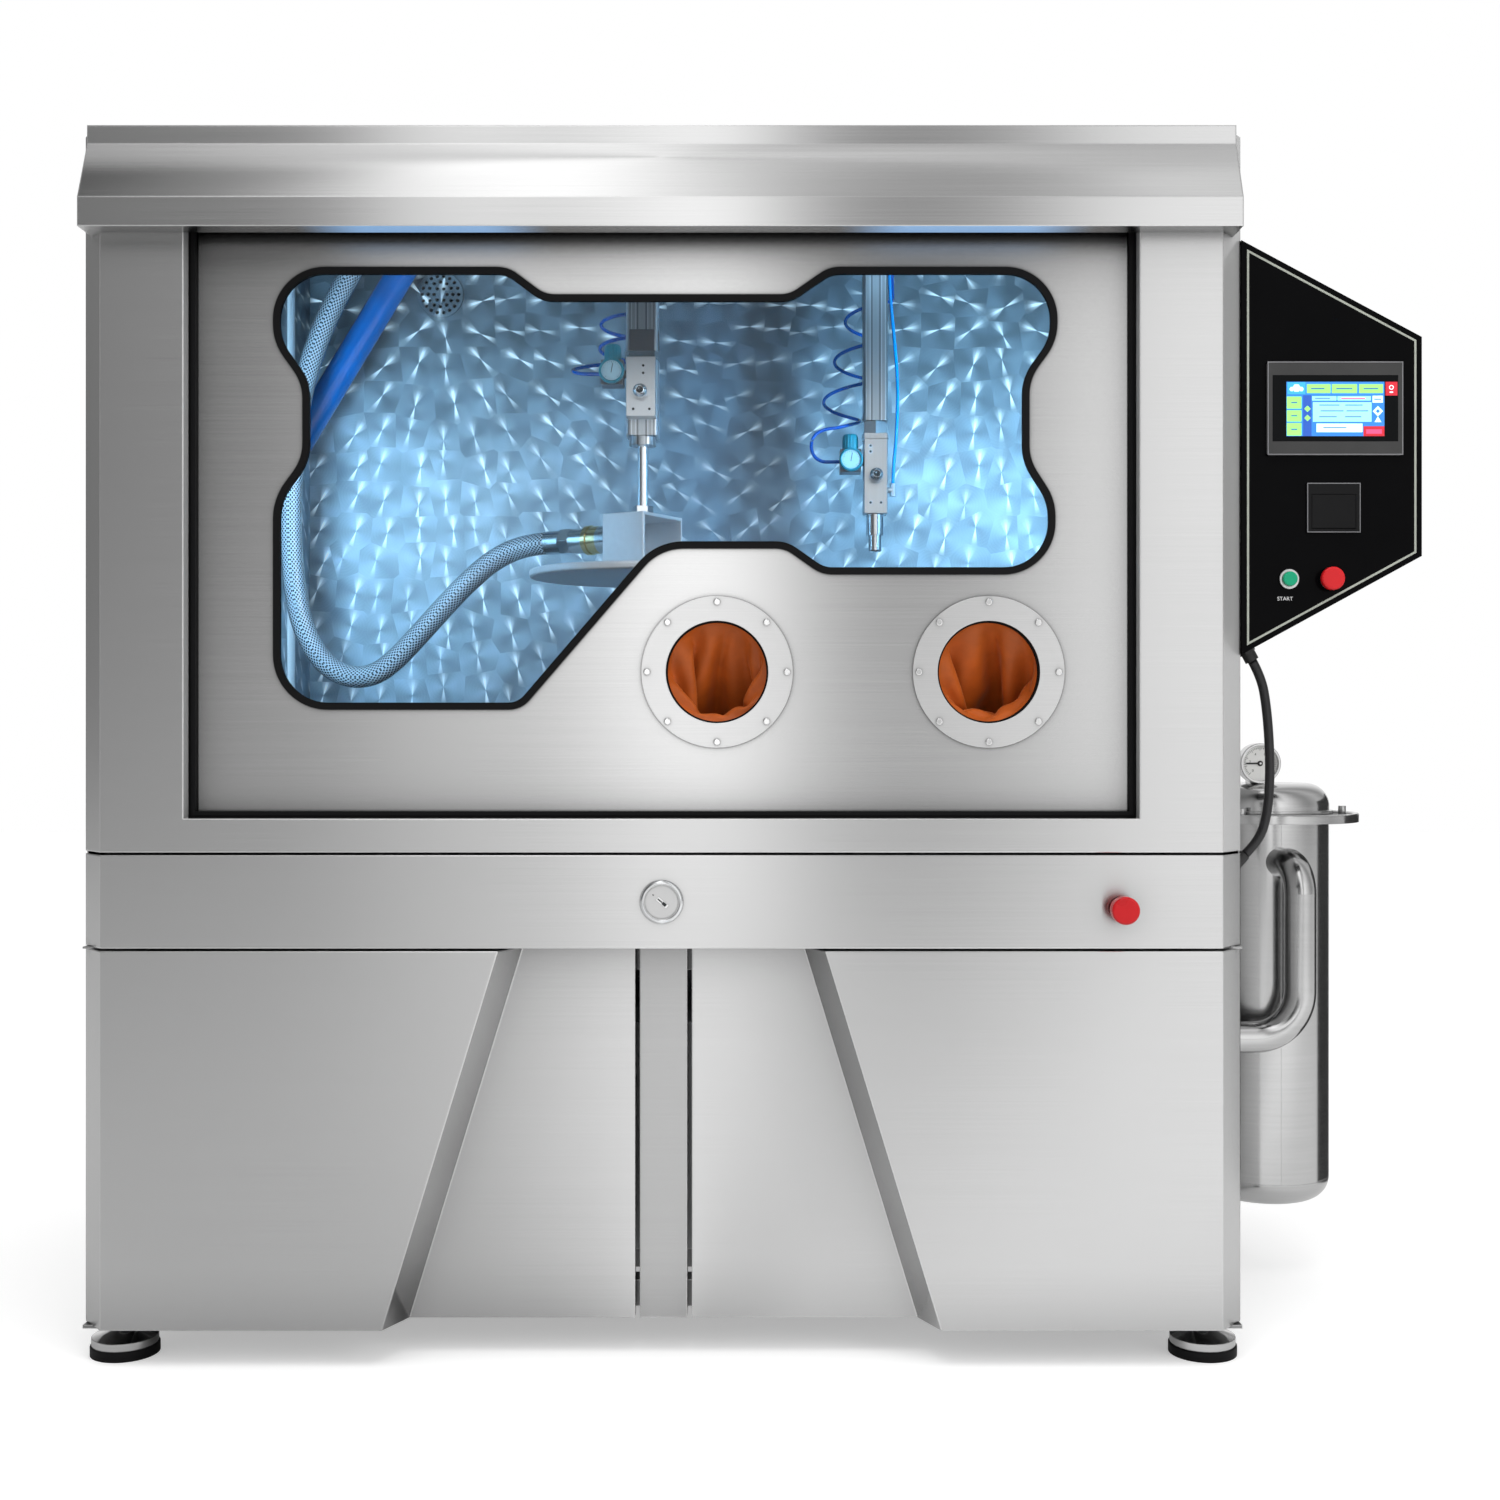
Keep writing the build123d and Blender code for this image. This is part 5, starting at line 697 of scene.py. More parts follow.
# painted glow: emission on downward faces in front of each light bar
glow = allOn(tree, "MULTIPLY", below, mathOn(tree, "MAXIMUM", *leaks), hoodPaintedGlow["strength"])
wire(tree, tree.nodes["Principled BSDF"], {"Emission Color": hoodPaintedGlow["colour"], "Emission Strength": glow})

# Front frame: satin where it returns into the door's opening and, in part, on the chamfer beside the
# control box, so that it doesn't mirror the black seal and the black box
frontSatin = {"half": 692.6, "bottom": 793.8, "chamfer": 813, "chamferShare": 0.65, "metal": 0.1}
tree = frontSteel.node_tree
place = apartOn(tree, coordsOn(tree))
fromCentre = offOn(tree, place[0], spot(0, 0, 0)[0])
inside = mathOn(
    tree, "MULTIPLY", mathOn(tree, "LESS_THAN", fromCentre, frontSatin["half"] / 1000),
    mathOn(tree, "GREATER_THAN", place[2], frontSatin["bottom"] / 1000)
)
outside = mathOn(tree, "GREATER_THAN", place[0], spot(frontSatin["chamfer"], 0, 0)[0])
satin = mathOn(tree, "MAXIMUM", inside, mathOn(tree, "MULTIPLY", outside, frontSatin["chamferShare"]))
wire(tree, tree.nodes["Principled BSDF"], {"Metallic": spanOn(tree, satin, 1.0, frontSatin["metal"])})
print("finishes:", len(bpy.data.materials))


# Curly air line: a drop from the ceiling, turns about a leaning axis, and a lead into its port.
# Turn angle a: middle + r (cos a, -sin a), the middle going evenly from the top to the foot.
def curlRoute(radius, count, top, foot, drop, lead):
    turns = np.linspace(0, count * 2 * math.pi, int(count * 14) + 1)
    share = (turns / turns[-1])[:, None]
    ring = np.stack([np.cos(turns), -np.sin(turns), np.zeros(len(turns))], axis=-1) * radius
    curl = np.array(top, float) + np.subtract(foot, top) * share + ring
    return np.concatenate([np.array(drop, float), curl, np.array(lead, float)])


# Cords, with their routes in the cabinet's terms. The cable goes from the control box to the cabinet's
# side. The clear hose comes down the left wall, round a low loop and up to the press head; its stillAt and
# movesAt are read but nothing uses them, and the hose is not attached to a body. The blue hose goes
# straight to the left wall.
airTube = {"thick": 6, "sides": 12, "sideWay": (0.35, 0.25, 1.0), "node": "air_lines", "slot": "air_tube"}
cords = {
    "controlCable": {
        "route": (
            (885.1, 110, 1028.1), (899.5, 110, 1001.8), (907, 110, 957), (911, 109, 902), (911.5, 108, 846),
            (907.5, 108.5, 797), (896.5, 109.5, 758), (874.2, 109.7, 735.9),
        ),
        "steps": 10, "thick": 14, "sides": 20, "sideWay": (0, 1, 0), "finish": cableSheath,
        "node": "control_cable", "slot": "cable_sheath",
        "says": {"stiffness": "medium", "lay": "hanging", "with_pieces": [nodes["cable_glands"]]},
    },
    "processHose": {
        "route": (
            (-526, 508.2, 1786), (-556, 509, 1726), (-590, 510, 1668), (-619, 511, 1604), (-642, 512, 1535),
            (-657, 512, 1460), (-665, 512, 1385), (-668, 512, 1310), (-667, 512, 1250), (-663, 512, 1195),
            (-657, 512, 1148), (-646, 512, 1104), (-627, 512, 1063), (-598, 511, 1030), (-560, 510, 1014),
            (-519, 508, 1020), (-484, 506, 1046), (-448, 504, 1084), (-406, 501, 1130), (-360, 496, 1178),
            (-311, 489, 1219), (-255, 469.5, 1241), (-213.4, 445.5, 1241),
        ),
        "stillAt": (-640, 510, 1100),
        "movesAt": (-392, 510, 976),
        "steps": 10, "thick": 38, "sides": 28, "sideWay": (0, 1, 0.05), "finish": hoseBraid,
        "node": "process_hose", "slot": "clear_tube",
        "says": {"stiffness": "stiff", "lay": "hanging"},
    },
    "blueHose": {
        "route": ((-484, 654, 1785.5), (-555, 654, 1667), (-624, 654, 1553), (-691.5, 654, 1440)),
        "steps": 10, "thick": 52, "sides": 32, "sideWay": (0, 1, 0), "finish": hoseBlue,
        "node": "blue_hose", "slot": "blue_tube",
        "says": {"stiffness": "stiff", "lay": "taut"},
    },
    "pressCoil": {
        **airTube,
        "route": curlRoute(
            27, 2.25, (-94, 412, 1622), (-98, 402, 1530),
            ((-67, 425.5, 1785.8), (-67, 425.5, 1735), (-67, 425.5, 1690), (-67, 422, 1650)),
            ((-128, 374, 1528), (-154, 363, 1521), (-163, 342, 1513), (-158, 320, 1505), (-142, 309, 1500),
             (-126, 309, 1500), (-112, 309, 1500))
        ),
        "steps": 6,
        "finish": airBlue,
        "says": {"stiffness": "medium", "lay": "coiled"},
    },
    "sprayCoil": {
        **airTube,
        "route": curlRoute(
            38, 3.25, (345, 605, 1690), (281, 575, 1452),
            ((383, 624, 1785.8), (383, 624, 1765), (383, 624, 1744), (383, 619, 1715)),
            ((260, 536, 1450), (241, 533, 1441), (233, 528, 1421), (238, 522, 1400), (252, 520, 1390),
             (268, 520, 1390), (284, 520, 1390))
        ),
        "steps": 6,
        "finish": airBlue,
        "says": {"stiffness": "medium", "lay": "coiled"},
    },
    "sprayLine": {
        **airTube,
        "route": (
            (370, 532, 1785.8), (370, 532, 1740), (372, 530, 1680), (379, 527, 1605), (385, 524, 1530),
            (384, 522, 1470), (381, 521, 1420), (377, 520, 1382), (376, 520, 1352),
        ),
        "steps": 8,
        "sideWay": (0, 1, 0),
        "finish": airCyan,
        "says": {"stiffness": "medium", "lay": "hanging"},
    },
}
for name, setup in cords.items():
    line = routeLine(setup["route"], setup["steps"])
    thick = setup["thick"] / 1000
    piece = tubeAlong(name, line, thick, setup["sideWay"], setup["finish"], setup["sides"])
    if "stillAt" in setup:
        still, moves = (tuple(spot(*setup[key])) for key in ("stillAt", "movesAt"))
        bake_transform(piece)
    else:
        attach(piece, "cabinet")
    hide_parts(setup["node"])
print("cords:", len(cords))

# Gloves: a sleeve clamped in each ring that falls under its own weight against the door's back. Radius
# along the sleeve: the cuff's, drawn in slowly to a rounded, closed tip; waves round it start the folds.
glove = {
    "ports": {
        "leftGlove": {"x": 79.7, "turn": 3.0, "around": 32, "along": 24, "bend": 2.0},
        "rightGlove": {"x": 477.4, "turn": 4.0, "around": 28, "along": 20, "bend": 0.5},
    },
    "portZ": 1008.3,
    "ringY": 33,
    "radius": 76.5,
    "cuff": 24,
    "length": 250,
    "taper": 0.2,
    "tip": (0.8, 0.2),
    "freeOver": 60,
    "sag": 60,
    "waves": ((3.0, 4, 0.0), (2.0, 5, -2.0)),
    "stiffness": 15,
    "frames": 40,
    "fall": (0, 1.5, -9.6),
    "wall": 0.0012,
    "doorBack": {"y": 36, "hole": 77.6, "reach": 260, "sides": 96},
    "clamp": ((72.4, 3), (73.4, 0.6), (75.4, 0.2), (75.4, 12), (73.6, 12), (72.4, 9)),
}


def gloveSleeve(name, port):
    count = port["around"]
    angle = np.linspace(0, 2 * math.pi, count, endpoint=False)[None, :]
    along = np.linspace(0, 1, port["along"])[:, None]
    back = along * glove["length"]
    tipFrom, tipOver = glove["tip"]
    tip = np.sqrt(1 - np.clip((along - tipFrom) / tipOver, 0, 1) ** 2)
    free = np.clip((back - glove["cuff"]) / glove["freeOver"], 0, 1)
    waves = sum(
        size * np.sin(number * (angle + port["turn"]) + lean * along) for size, number, lean in glove["waves"]
    )
    radius = (glove["radius"] * (1 - glove["taper"] * along**2) + free * waves) * tip
    height = glove["portZ"] - glove["sag"] * along**2 + radius * np.sin(angle)
    points = spot(port["x"] + radius * np.cos(angle), glove["ringY"] + back, height)
    rows = points[:-1].reshape(-1, 3)
    quads = gridFaces(port["along"] - 1, count, around=True)[:, ::-1]
    end = fanFaces(len(rows) - count, count, len(rows), True)
    piece = addPiece(name, np.concatenate([rows, points[-1, :1]]), quads.tolist() + end.tolist(), gloveOrange)
    held = piece.vertex_groups.new(name="clamped")
    held.add(list(range(int((back <= glove["cuff"]).sum()) * count)), 1.0, "REPLACE")
    return piece


# Back of the door round a port, there only while the sleeve falls
def doorBack(portX):
    setup = glove["doorBack"]
    angle = np.linspace(0, 2 * math.pi, setup["sides"], endpoint=False)[None, :]
    radius = np.array([[setup["hole"]], [setup["reach"]]])
    points = spot(portX + radius * np.cos(angle), setup["y"], glove["portZ"] + radius * np.sin(angle))
    piece = addPiece("doorBack", points, gridFaces(2, setup["sides"], around=True), gloveOrange)
    piece.modifiers.new("meet", "COLLISION")
    piece.collision.thickness_outer = 0.003
    return piece


# Cloth fall of a sleeve held at its cuff; the mesh of the last frame replaces the straight one
def dropSleeve(piece, port):
    stop = doorBack(port["x"])
    cloth = piece.modifiers.new("fall", "CLOTH")
    settings = cloth.settings
    settings.quality = 8
    settings.mass = 0.25
    settings.air_damping = 4.0
    settings.tension_stiffness = settings.compression_stiffness = glove["stiffness"]
    settings.shear_stiffness = glove["stiffness"] / 2
    settings.bending_stiffness = port["bend"]
    settings.bending_damping = 2.0
    settings.vertex_group_mass = "clamped"
    meeting = cloth.collision_settings
    meeting.use_self_collision = True
    meeting.self_distance_min = 0.004
    meeting.collision_quality = 3
    meeting.distance_min = 0.002
    cloth.point_cache.frame_start = 1
    cloth.point_cache.frame_end = glove["frames"]
    scene.gravity = glove["fall"]
    for number in range(1, glove["frames"] + 1):
        scene.frame_set(number)
    fallen = bpy.data.meshes.new_from_object(piece.evaluated_get(bpy.context.evaluated_depsgraph_get()))
    piece.modifiers.clear()
    old = piece.data
    piece.data = fallen
    bpy.data.meshes.remove(old)
    bpy.data.meshes.remove(stop.data)
    scene.frame_set(1)


for name, port in glove["ports"].items():
    sleeve = gloveSleeve(name, port)
    dropSleeve(sleeve, port)
    wall = sleeve.modifiers.new("wall", "SOLIDIFY")
    wall.thickness = glove["wall"]
    wall.offset = -1
    smooth = sleeve.modifiers.new("smooth", "SUBSURF")
    smooth.levels = smooth.render_levels = 2
    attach(sleeve, "window_door")
    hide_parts("gloves")
    clampAt = (port["x"], glove["ringY"], glove["portZ"])
    # The black clamp ring round each cuff also stands as painted shade in the gap between ring and glove
    clamp = turned(f"{name}Clamp", glove["clamp"], clampAt, "y", rubber, 96)
    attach(clamp, "window_door")
print("gloves done")


# Flat ring: an outline drawn in by inset and by inset plus width, proud of the face it lies on
def outlineRing(name, corners, inset, width, faceY, proud, material):
    corners = np.asarray(corners, float)
    way = np.roll(corners, -1, axis=0) - corners
    way /= np.linalg.norm(way, axis=1)[:, None]
    inward = np.stack([way[:, 1], -way[:, 0]], axis=-1)
    before = np.roll(inward, 1, axis=0)
    reach = (inward + before) / (1 + (inward * before).sum(axis=1))[:, None]
    outer, inner = corners + reach * inset, corners + reach * (inset + width)
    loops = [(outer, faceY), (outer, faceY - proud), (inner, faceY - proud), (inner, faceY)]
    points = np.stack([spot(loop[:, 0], y, loop[:, 1]) for loop, y in loops + loops[:1]])
    piece = addPiece(name, points, gridFaces(5, len(corners), around=True), material, smooth=False)
    closeSurface(piece)
    return piece


# Corners of an upright rectangle, clockwise from the lower left
def uprightRectangle(x, z, width, height):
    right, up = width / 2, height / 2
    return ((x - right, z - up), (x - right, z + up), (x + right, z + up), (x + right, z - up))


# Flat coloured shapes in one mesh: each is a polygon on its own layer, a hair in front of the last.
# Rectangles have four corners; a round shape has its own count.
def colouredShapes(name, shapes, origin, layer, material):
    points, faces, colours, first = [], [], [], 0
    for number, (u, v, colour) in enumerate(shapes):
        u, v = np.asarray(u, float), np.asarray(v, float)
        points.append(spot(origin[0] + u, origin[1] - layer * (1 + number), origin[2] + v))
        faces.append(list(range(first, first + len(u))))
        colours += [(*colour, 1.0)] * len(u)
        first += len(u)
    piece = addPiece(name, np.concatenate(points), faces, material, smooth=False)
    attribute = piece.data.color_attributes.new("tileColour", "FLOAT_COLOR", "CORNER")
    attribute.data.foreach_set("color", np.asarray(colours, np.float32).ravel())
    return piece


# Rectangle as a flat shape: four corners from the lower left, anticlockwise
def rectangle(left, low, right, high, colour):
    return (left, right, right, left), (low, low, high, high), colour


# Disc or even polygon as a flat shape: corners at equal angles round (u, v)
def disc(u, v, radius, colour, sides=24, turn=0.0):
    angle = np.linspace(0, 2 * math.pi, sides, endpoint=False) + turn
    return u + radius * np.cos(angle), v + radius * np.sin(angle), colour


# Words as a mesh lying on an upright face, by the height of their capitals
capitalShare = 0.7


def wordsOn(name, words, centre, height, material):
    curve = bpy.data.curves.new(name, "FONT")
    curve.body = words
    curve.align_x = "CENTER"
    curve.align_y = "CENTER"
    curve.size = 1.0
    holder = bpy.data.objects.new(name, curve)
    mesh = bpy.data.meshes.new_from_object(holder)
    flat = meshPoints(mesh) * height / capitalShare
    placed = spot(centre[0] + flat[:, 0], centre[1], centre[2] + flat[:, 1])
    mesh.vertices.foreach_set("co", placed.ravel())
    mesh.materials.append(material)
    piece = bpy.data.objects.new(name, mesh)
    scene.collection.objects.link(piece)
    bpy.data.curves.remove(curve)
    return piece


# Control box: border strip, grey outlines round the touch panel and the printer as painted highlights of
# their bezel edges, and a word under the green button. Each edge has its inset, its width, the face it lies
# on and how proud of that it stands.
panel = {
    "outline": ((850, 1034), (850, 1643), (1115, 1501), (1115, 1179)),
    "strip": (8, 3.2, 40, 0.3),
    "touch": (986, 1395, 200, 138),
    "touchY": 34,
    "touchEdge": (0.6, 1.6, 34, 0.4),
    "glass": (184, 97, 0.3),
    "printer": (984.5, 1249.5, 79, 73.5),
    "printerEdge": (0.4, 1.3, 36, 0.3),
    "word": ("START", (914, 39.85, 1116), 5.5),
}
panelTrim = [
    outlineRing("borderStrip", panel["outline"], *panel["strip"], borderLine),
    outlineRing("touchPanelEdge", uprightRectangle(*panel["touch"]), *panel["touchEdge"], edgeHighlightGrey),
    outlineRing("printerEdge", uprightRectangle(*panel["printer"]), *panel["printerEdge"], edgeHighlightGrey),
    wordsOn("startWord", *panel["word"], labelWhite),
]
for piece in panelTrim:
    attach(piece, "cabinet")

blue, deepBlue, green = (0.02, 0.16, 0.52), (0.012, 0.07, 0.34), (0.26, 0.72, 0.14)
pale, white, red = (0.26, 0.66, 0.88), (0.55, 0.86, 0.95), (0.42, 0.008, 0.02)
pink, screenInk, sky = (0.72, 0.06, 0.16), (0.08, 0.2, 0.32), (0.03, 0.3, 0.8)
screenTiles = [
    rectangle(-71.8, -41, 71.8, 38.7, blue),
    rectangle(-47.5, -41, -35, 19, deepBlue),
    rectangle(-70.4, 20.5, -44, 38, sky),
    disc(-57, 29.5, 6.2, white, 6),
    disc(-64, 28, 3.6, white, 6),
    disc(-50, 28, 3.6, white, 6),
    rectangle(-41.9, 22, -7.3, 35.2, green),
    rectangle(-5.3, 22, 31.7, 35.2, green),
    rectangle(34.6, 22, 69.8, 35.2, green),
    rectangle(73.3, 18.5, 90.9, 38.7, red),
    disc(82, 30.5, 3.4, white, 20),
    disc(82, 30.5, 2.3, red, 20),
    rectangle(79.5, 22.5, 84.5, 24.3, white),
    rectangle(-71.2, -0.6, -49.8, 17, green),
    rectangle(-71.2, -19.6, -49.8, -2.9, green),
    rectangle(-71.2, -40.2, -49.8, -21.7, green),
    disc(-41, -0.9, 4.7, green, 4),
    disc(-41, -14.4, 4.7, green, 4),
    rectangle(-34.3, 11.2, 1.5, 17.6, pale),
    rectangle(2.9, 11.2, 51.9, 17.6, pale),
    rectangle(-33.1, -19.9, 52.8, 8.8, pale),
    rectangle(54.3, 8, 69.5, 18.2, white),
    disc(62.2, -4.4, 7.6, white, 4),
    disc(62.2, -4.4, 3.2, blue, 4),
    disc(62.2, -17.6, 5.8, white, 3, math.pi / 2),
    rectangle(-27.9, -35.2, 39.6, -22.6, white),
    rectangle(41, -41, 71.8, -26.4, red),
    rectangle(45, -37.5, 68, -31, pink),
]
for left, right, height, colour in (
    (-24, 6, 4.5, screenInk), (-22, 12, -4.0, screenInk), (-24, 2, -12.5, screenInk),
    (14, 40, 4.5, screenInk), (16, 48, -4.0, screenInk), (14, 38, -12.5, screenInk),
    (-30, -8, 14.4, screenInk), (8, 44, 14.4, pink), (-18, 16, -28.5, screenInk), (56.5, 67, 13, screenInk),
    (-36, -16, 28.6, deepBlue), (1, 25, 28.6, deepBlue), (41, 63, 28.6, deepBlue),
    (-65, -56, 8.2, deepBlue), (-65, -56, -11.2, deepBlue), (-65, -56, -31, deepBlue),
):
    screenTiles.append(rectangle(left, height - 0.9, right, height + 0.9, colour))
touchX, touchZ = panel["touch"][:2]
glassWidth, glassHeight, glassProud = panel["glass"]
touchGlass = outlineRing(
    "touchPanelGlass", uprightRectangle(touchX, touchZ, glassWidth, glassHeight), 0, glassHeight / 2 - 0.01,
    panel["touchY"], glassProud, screenGlass
)
pictureAt = (touchX, panel["touchY"] - glassProud, touchZ)
screenPicture = colouredShapes("screenPicture", screenTiles, pictureAt, 0.006, screenGlow)
for piece in (touchGlass, screenPicture):
    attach(piece, "cabinet")
    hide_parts("hmi_screen")
print("control box dressed:", len(screenTiles), "tiles")


# Bar between two places, as a flat shape
def bar(start, end, width, colour):
    start, end = np.array(start, float), np.array(end, float)
    way = (end - start) / np.linalg.norm(end - start)
    side = np.array([-way[1], way[0]]) * width / 2
    corners = np.array([start - side, end - side, end + side, start + side])
    return corners[:, 0], corners[:, 1], colour


# Way from a dial's middle to a share of its arc, from the lower left over the top to the lower right
def dialWay(share):
    angle = math.radians(225 - 270 * share)
    return np.array([math.cos(angle), math.sin(angle)])


# Dial: a pale disc with ticks round three quarters of it, each fifth one long, and, where asked, a needle
# at a share of the arc. Measures are shares of the dial's radius.
dialLook = {
    "ink": even(0.02),
    "tick": (0.82, 0.92, 0.032),
    "longTick": (0.74, 0.92, 0.032),
    "needle": (-0.2, 0.72, 0.07),
    "figures": 0.58,
}


def dialShapes(radius, ticks, ground, needle=None):
    marks = [(number / ticks, "longTick" if number % 5 == 0 else "tick") for number in range(ticks + 1)]
    if needle is not None:
        marks.append((needle, "needle"))
    shapes = [disc(0, 0, radius, ground, 48)]
    for share, kind in marks:
        way = dialWay(share) * radius
        start, end, width = dialLook[kind]
        shapes.append(bar(way * start, way * end, radius * width, dialLook["ink"]))
    return shapes


# Canister gauge: numbered dial behind the needle
canisterDial = {"at": (989, 434, 868), "dial": (29.6, 40, (0.8, 0.8, 0.78)), "numbers": 5, "figure": 4.2}
dialX, dialY, dialZ = canisterDial["at"]
dialShape = dialShapes(*canisterDial["dial"])
dialPieces = [colouredShapes("canisterDial", dialShape, canisterDial["at"], 0.004, printAndPaintedShade)]
for number in range(canisterDial["numbers"] + 1):
    across, up = dialWay(number / canisterDial["numbers"]) * canisterDial["dial"][0] * dialLook["figures"]
    centre = (dialX + across, dialY - 0.3, dialZ + up)
    dialPieces.append(
        wordsOn(f"canisterDialNumber{number}", str(2 * number), centre, canisterDial["figure"], needleAndShadeBlack)
    )
for piece in dialPieces:
    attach(piece, "canister_cover")

# Regulators: a teal rim and a small dial on each gauge, and a ribbed knob in place of the plain one
regulators = {
    "press": {"at": (-94, 279, 1500), "node": "press_regulator_knob", "body": "press_knob"},
    "spray": {"at": (302, 490, 1390), "node": "spray_regulator_knob", "body": "spray_knob"},
}
gauge = {
    "dial": (16.4, 20, (0.36, 0.55, 0.64), 145 / 270),
    "rim": (
        (16.2, 0), (16.2, -1.6), (17, -2.4), (18.8, -2.4), (20.2, -1.2), (20.6, 0.8), (20.6, 5), (19.4, 6),
        (18.6, 6), (18.6, 0), (16.2, 0),
    ),
}
knob = {
    "back": 30,
    "profile": (
        (0.4, 47.5), (9.5, 47.4), (11.6, 46.4), (12.6, 44.6), (13.6, 42), (13.8, 36), (13.9, 28), (13.9, 24),
        (13.2, 22.4), (12, 21.2), (6.4, 20.6), (6.3, 24), (0.4, 24),
    ),
    "ribs": (16, 0.07, (0, 0, 0, 0.4, 1, 1, 1, 1, 0.6, 0, 0, 0, 0)),
}
for name, setup in regulators.items():
    gaugeX, gaugeY, gaugeZ = setup["at"]
    for piece in (
        turned(f"{name}GaugeRim", gauge["rim"], setup["at"], "y", teal, 56),
        colouredShapes(f"{name}GaugeDial", dialShapes(*gauge["dial"]), setup["at"], 0.004, printAndPaintedShade),
    ):
        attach(piece, "cabinet")
    knobAt = (gaugeX, gaugeY + knob["back"], gaugeZ)
    piece = turned(f"{name}Knob", knob["profile"], knobAt, "z", teal, 96, knob["ribs"])
    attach(piece, setup["body"])
    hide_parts(setup["node"])
print("gauges and knobs done")

# Fittings in the chamber that stay put: a black disc behind the vent's holes as painted shade, a rounded trim
# down the left wall, bands on the press barrel, a nut and flange under the spray barrel, and smooth covers
# on the valve blocks.
# Each prism has its outline from above, its heights, finish and slot.
# colour of the painted shade in holes, slots and mouths
holeShade = (0.012, 0.014, 0.016)
vent = {"at": (-448, 749.4, 1736), "shadeDisc": ((0.4, 0), (38, 0), (38, 0.3), (0.4, 0.3))}
# painted shade: a black disc behind the vent plate darkens its holes
ventShadeDisc = turned("ventShadeDisc", vent["shadeDisc"], vent["at"], "y", needleAndShadeBlack)
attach(ventShadeDisc, "cabinet")
wallTrim = {"at": (-692, 602), "out": 9.0, "half": 16.0}
sweep = np.linspace(-0.5 * math.pi, 0.5 * math.pi, 13)
trimOutline = np.array(wallTrim["at"]) + np.stack(
    [wallTrim["out"] * np.cos(sweep), wallTrim["half"] * np.sin(sweep)], axis=-1
)
pressAt, sprayAt = (-48, 350), (345, 520)
pressCover = ((-71.3, 293.7), (-24.7, 293.7), (-24.7, 323.9), (-71.3, 323.9))
prisms = {
    "wallTrim": (trimOutline, (762.5, 1785.5), trimSteel, "chamber_sheet"),
    "smokedBand": (cutSquare(*pressAt, 26.35, 6.6), (1541, 1576), darkMetal, "regulator_metal"),
    "pressRing": (cutSquare(*pressAt, 27.4, 6.0), (1526, 1541), chrome, "anodised_aluminium"),
    "sprayNut": (evenOutline(*sprayAt, 18.5, 6), (1437, 1458.5), anodised, "anodised_aluminium"),
    "pressCover": (pressCover, (1429.7, 1525.3), anodised, "anodised_aluminium"),
    "sprayCover": (cutSquare(*sprayAt, 20.3, 1.2), (1298.8, 1427.2), anodised, "anodised_aluminium"),
    "sprayFlange": (cutSquare(*sprayAt, 21.6, 2.0), (1427.2, 1437), anodised, "anodised_aluminium"),
}
for name, (outline, span, material, slot) in prisms.items():
    piece = prism(name, outline, *span, material)
    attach(piece, "cabinet")

# Each valve block: screw holes drawn flat on its face, their dark middles painted shade, and a chrome elbow
# whose mouth is a flat dark disc of painted shade with a small painted glint
valves = {
    "press": {"face": (-48, 293.6, 1467), "holes": ((4, 44), (4, 32), (-12, -26), (14, -26))},
    "spray": {"face": (345, 499.6, 1363), "holes": ((-9, 52), (-9, 42), (-9, -46), (9, -46))},
}
elbow = {
    "out": 18,
    "mouthOut": 29.2,
    "profile": (
        (5.4, -10.4), (5.4, -11.9), (6.6, -11.6), (8.9, -9.2), (10.7, -5.6), (11.6, -1), (11.5, 3),
        (9.7, 6.8), (8.9, 8.6), (8.9, -9.0),
    ),
    "mouth": [disc(0, 0, 5.6, holeShade, 32), disc(-1.4, 1.8, 1.3, (0.3, 0.34, 0.38), 16)],
}
for name, setup in valves.items():
    faceX, faceY, faceZ = setup["face"]
    holes = [
        disc(u, v, radius, colour, 20)
        for radius, colour in ((3.0, (0.62, 0.66, 0.7)), (2.1, holeShade))
        for u, v in setup["holes"]
    ]
    mouthAt = (faceX, faceY - elbow["mouthOut"], faceZ)
    for piece in (
        turned(f"{name}Elbow", elbow["profile"], (faceX, faceY - elbow["out"], faceZ), "y", chrome, 40),
        colouredShapes(f"{name}ElbowMouth", elbow["mouth"], mouthAt, 0.02, printAndPaintedShade),
        colouredShapes(f"{name}BlockHoles", holes, setup["face"], 0.02, printAndPaintedShade),
    ):
        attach(piece, "cabinet")

# Drawer lock: bevelled chrome rim, a black ring in the gap as painted shade, and a key slot drawn flat, its
# dark parts painted shade, that turns with the core
lock = {
    "at": (0, -3, 674.5),
    "slotTurn": math.radians(-40),
    "slotAt": (0, -2.05, 674.5),
    "rim": (
        (25.7, 0.6), (25.7, -0.5), (26.3, -1.1), (27.6, -1.3), (30.4, -0.4), (31.4, 0.9), (31.75, 2.8),
        (25.7, 2.8),
    ),
    "gap": ((24.3, 0.75), (25.8, 0.75), (25.8, 1.2), (24.3, 1.2)),
}
slotWay = np.array([math.cos(lock["slotTurn"]), math.sin(lock["slotTurn"])])
slotShapes = [
    disc(0, 0, 24.0, even(0.52), 64),
    disc(0, 0, 22.8, even(0.58), 64),
    bar(slotWay * -9, slotWay * 12, 7.6, even(0.34)),
    bar(slotWay * -8.4, slotWay * 11.4, 6.4, even(0.8)),
    bar(slotWay * -7, slotWay * 1, 2.0, holeShade),
    bar(slotWay * 1.5, slotWay * 8.5, 4.8, holeShade),
    bar(slotWay * -17, slotWay * -14.5, 2.0, even(0.1)),
]
lockRim = turned("lockRim", lock["rim"], lock["at"], "y", chrome, 72)
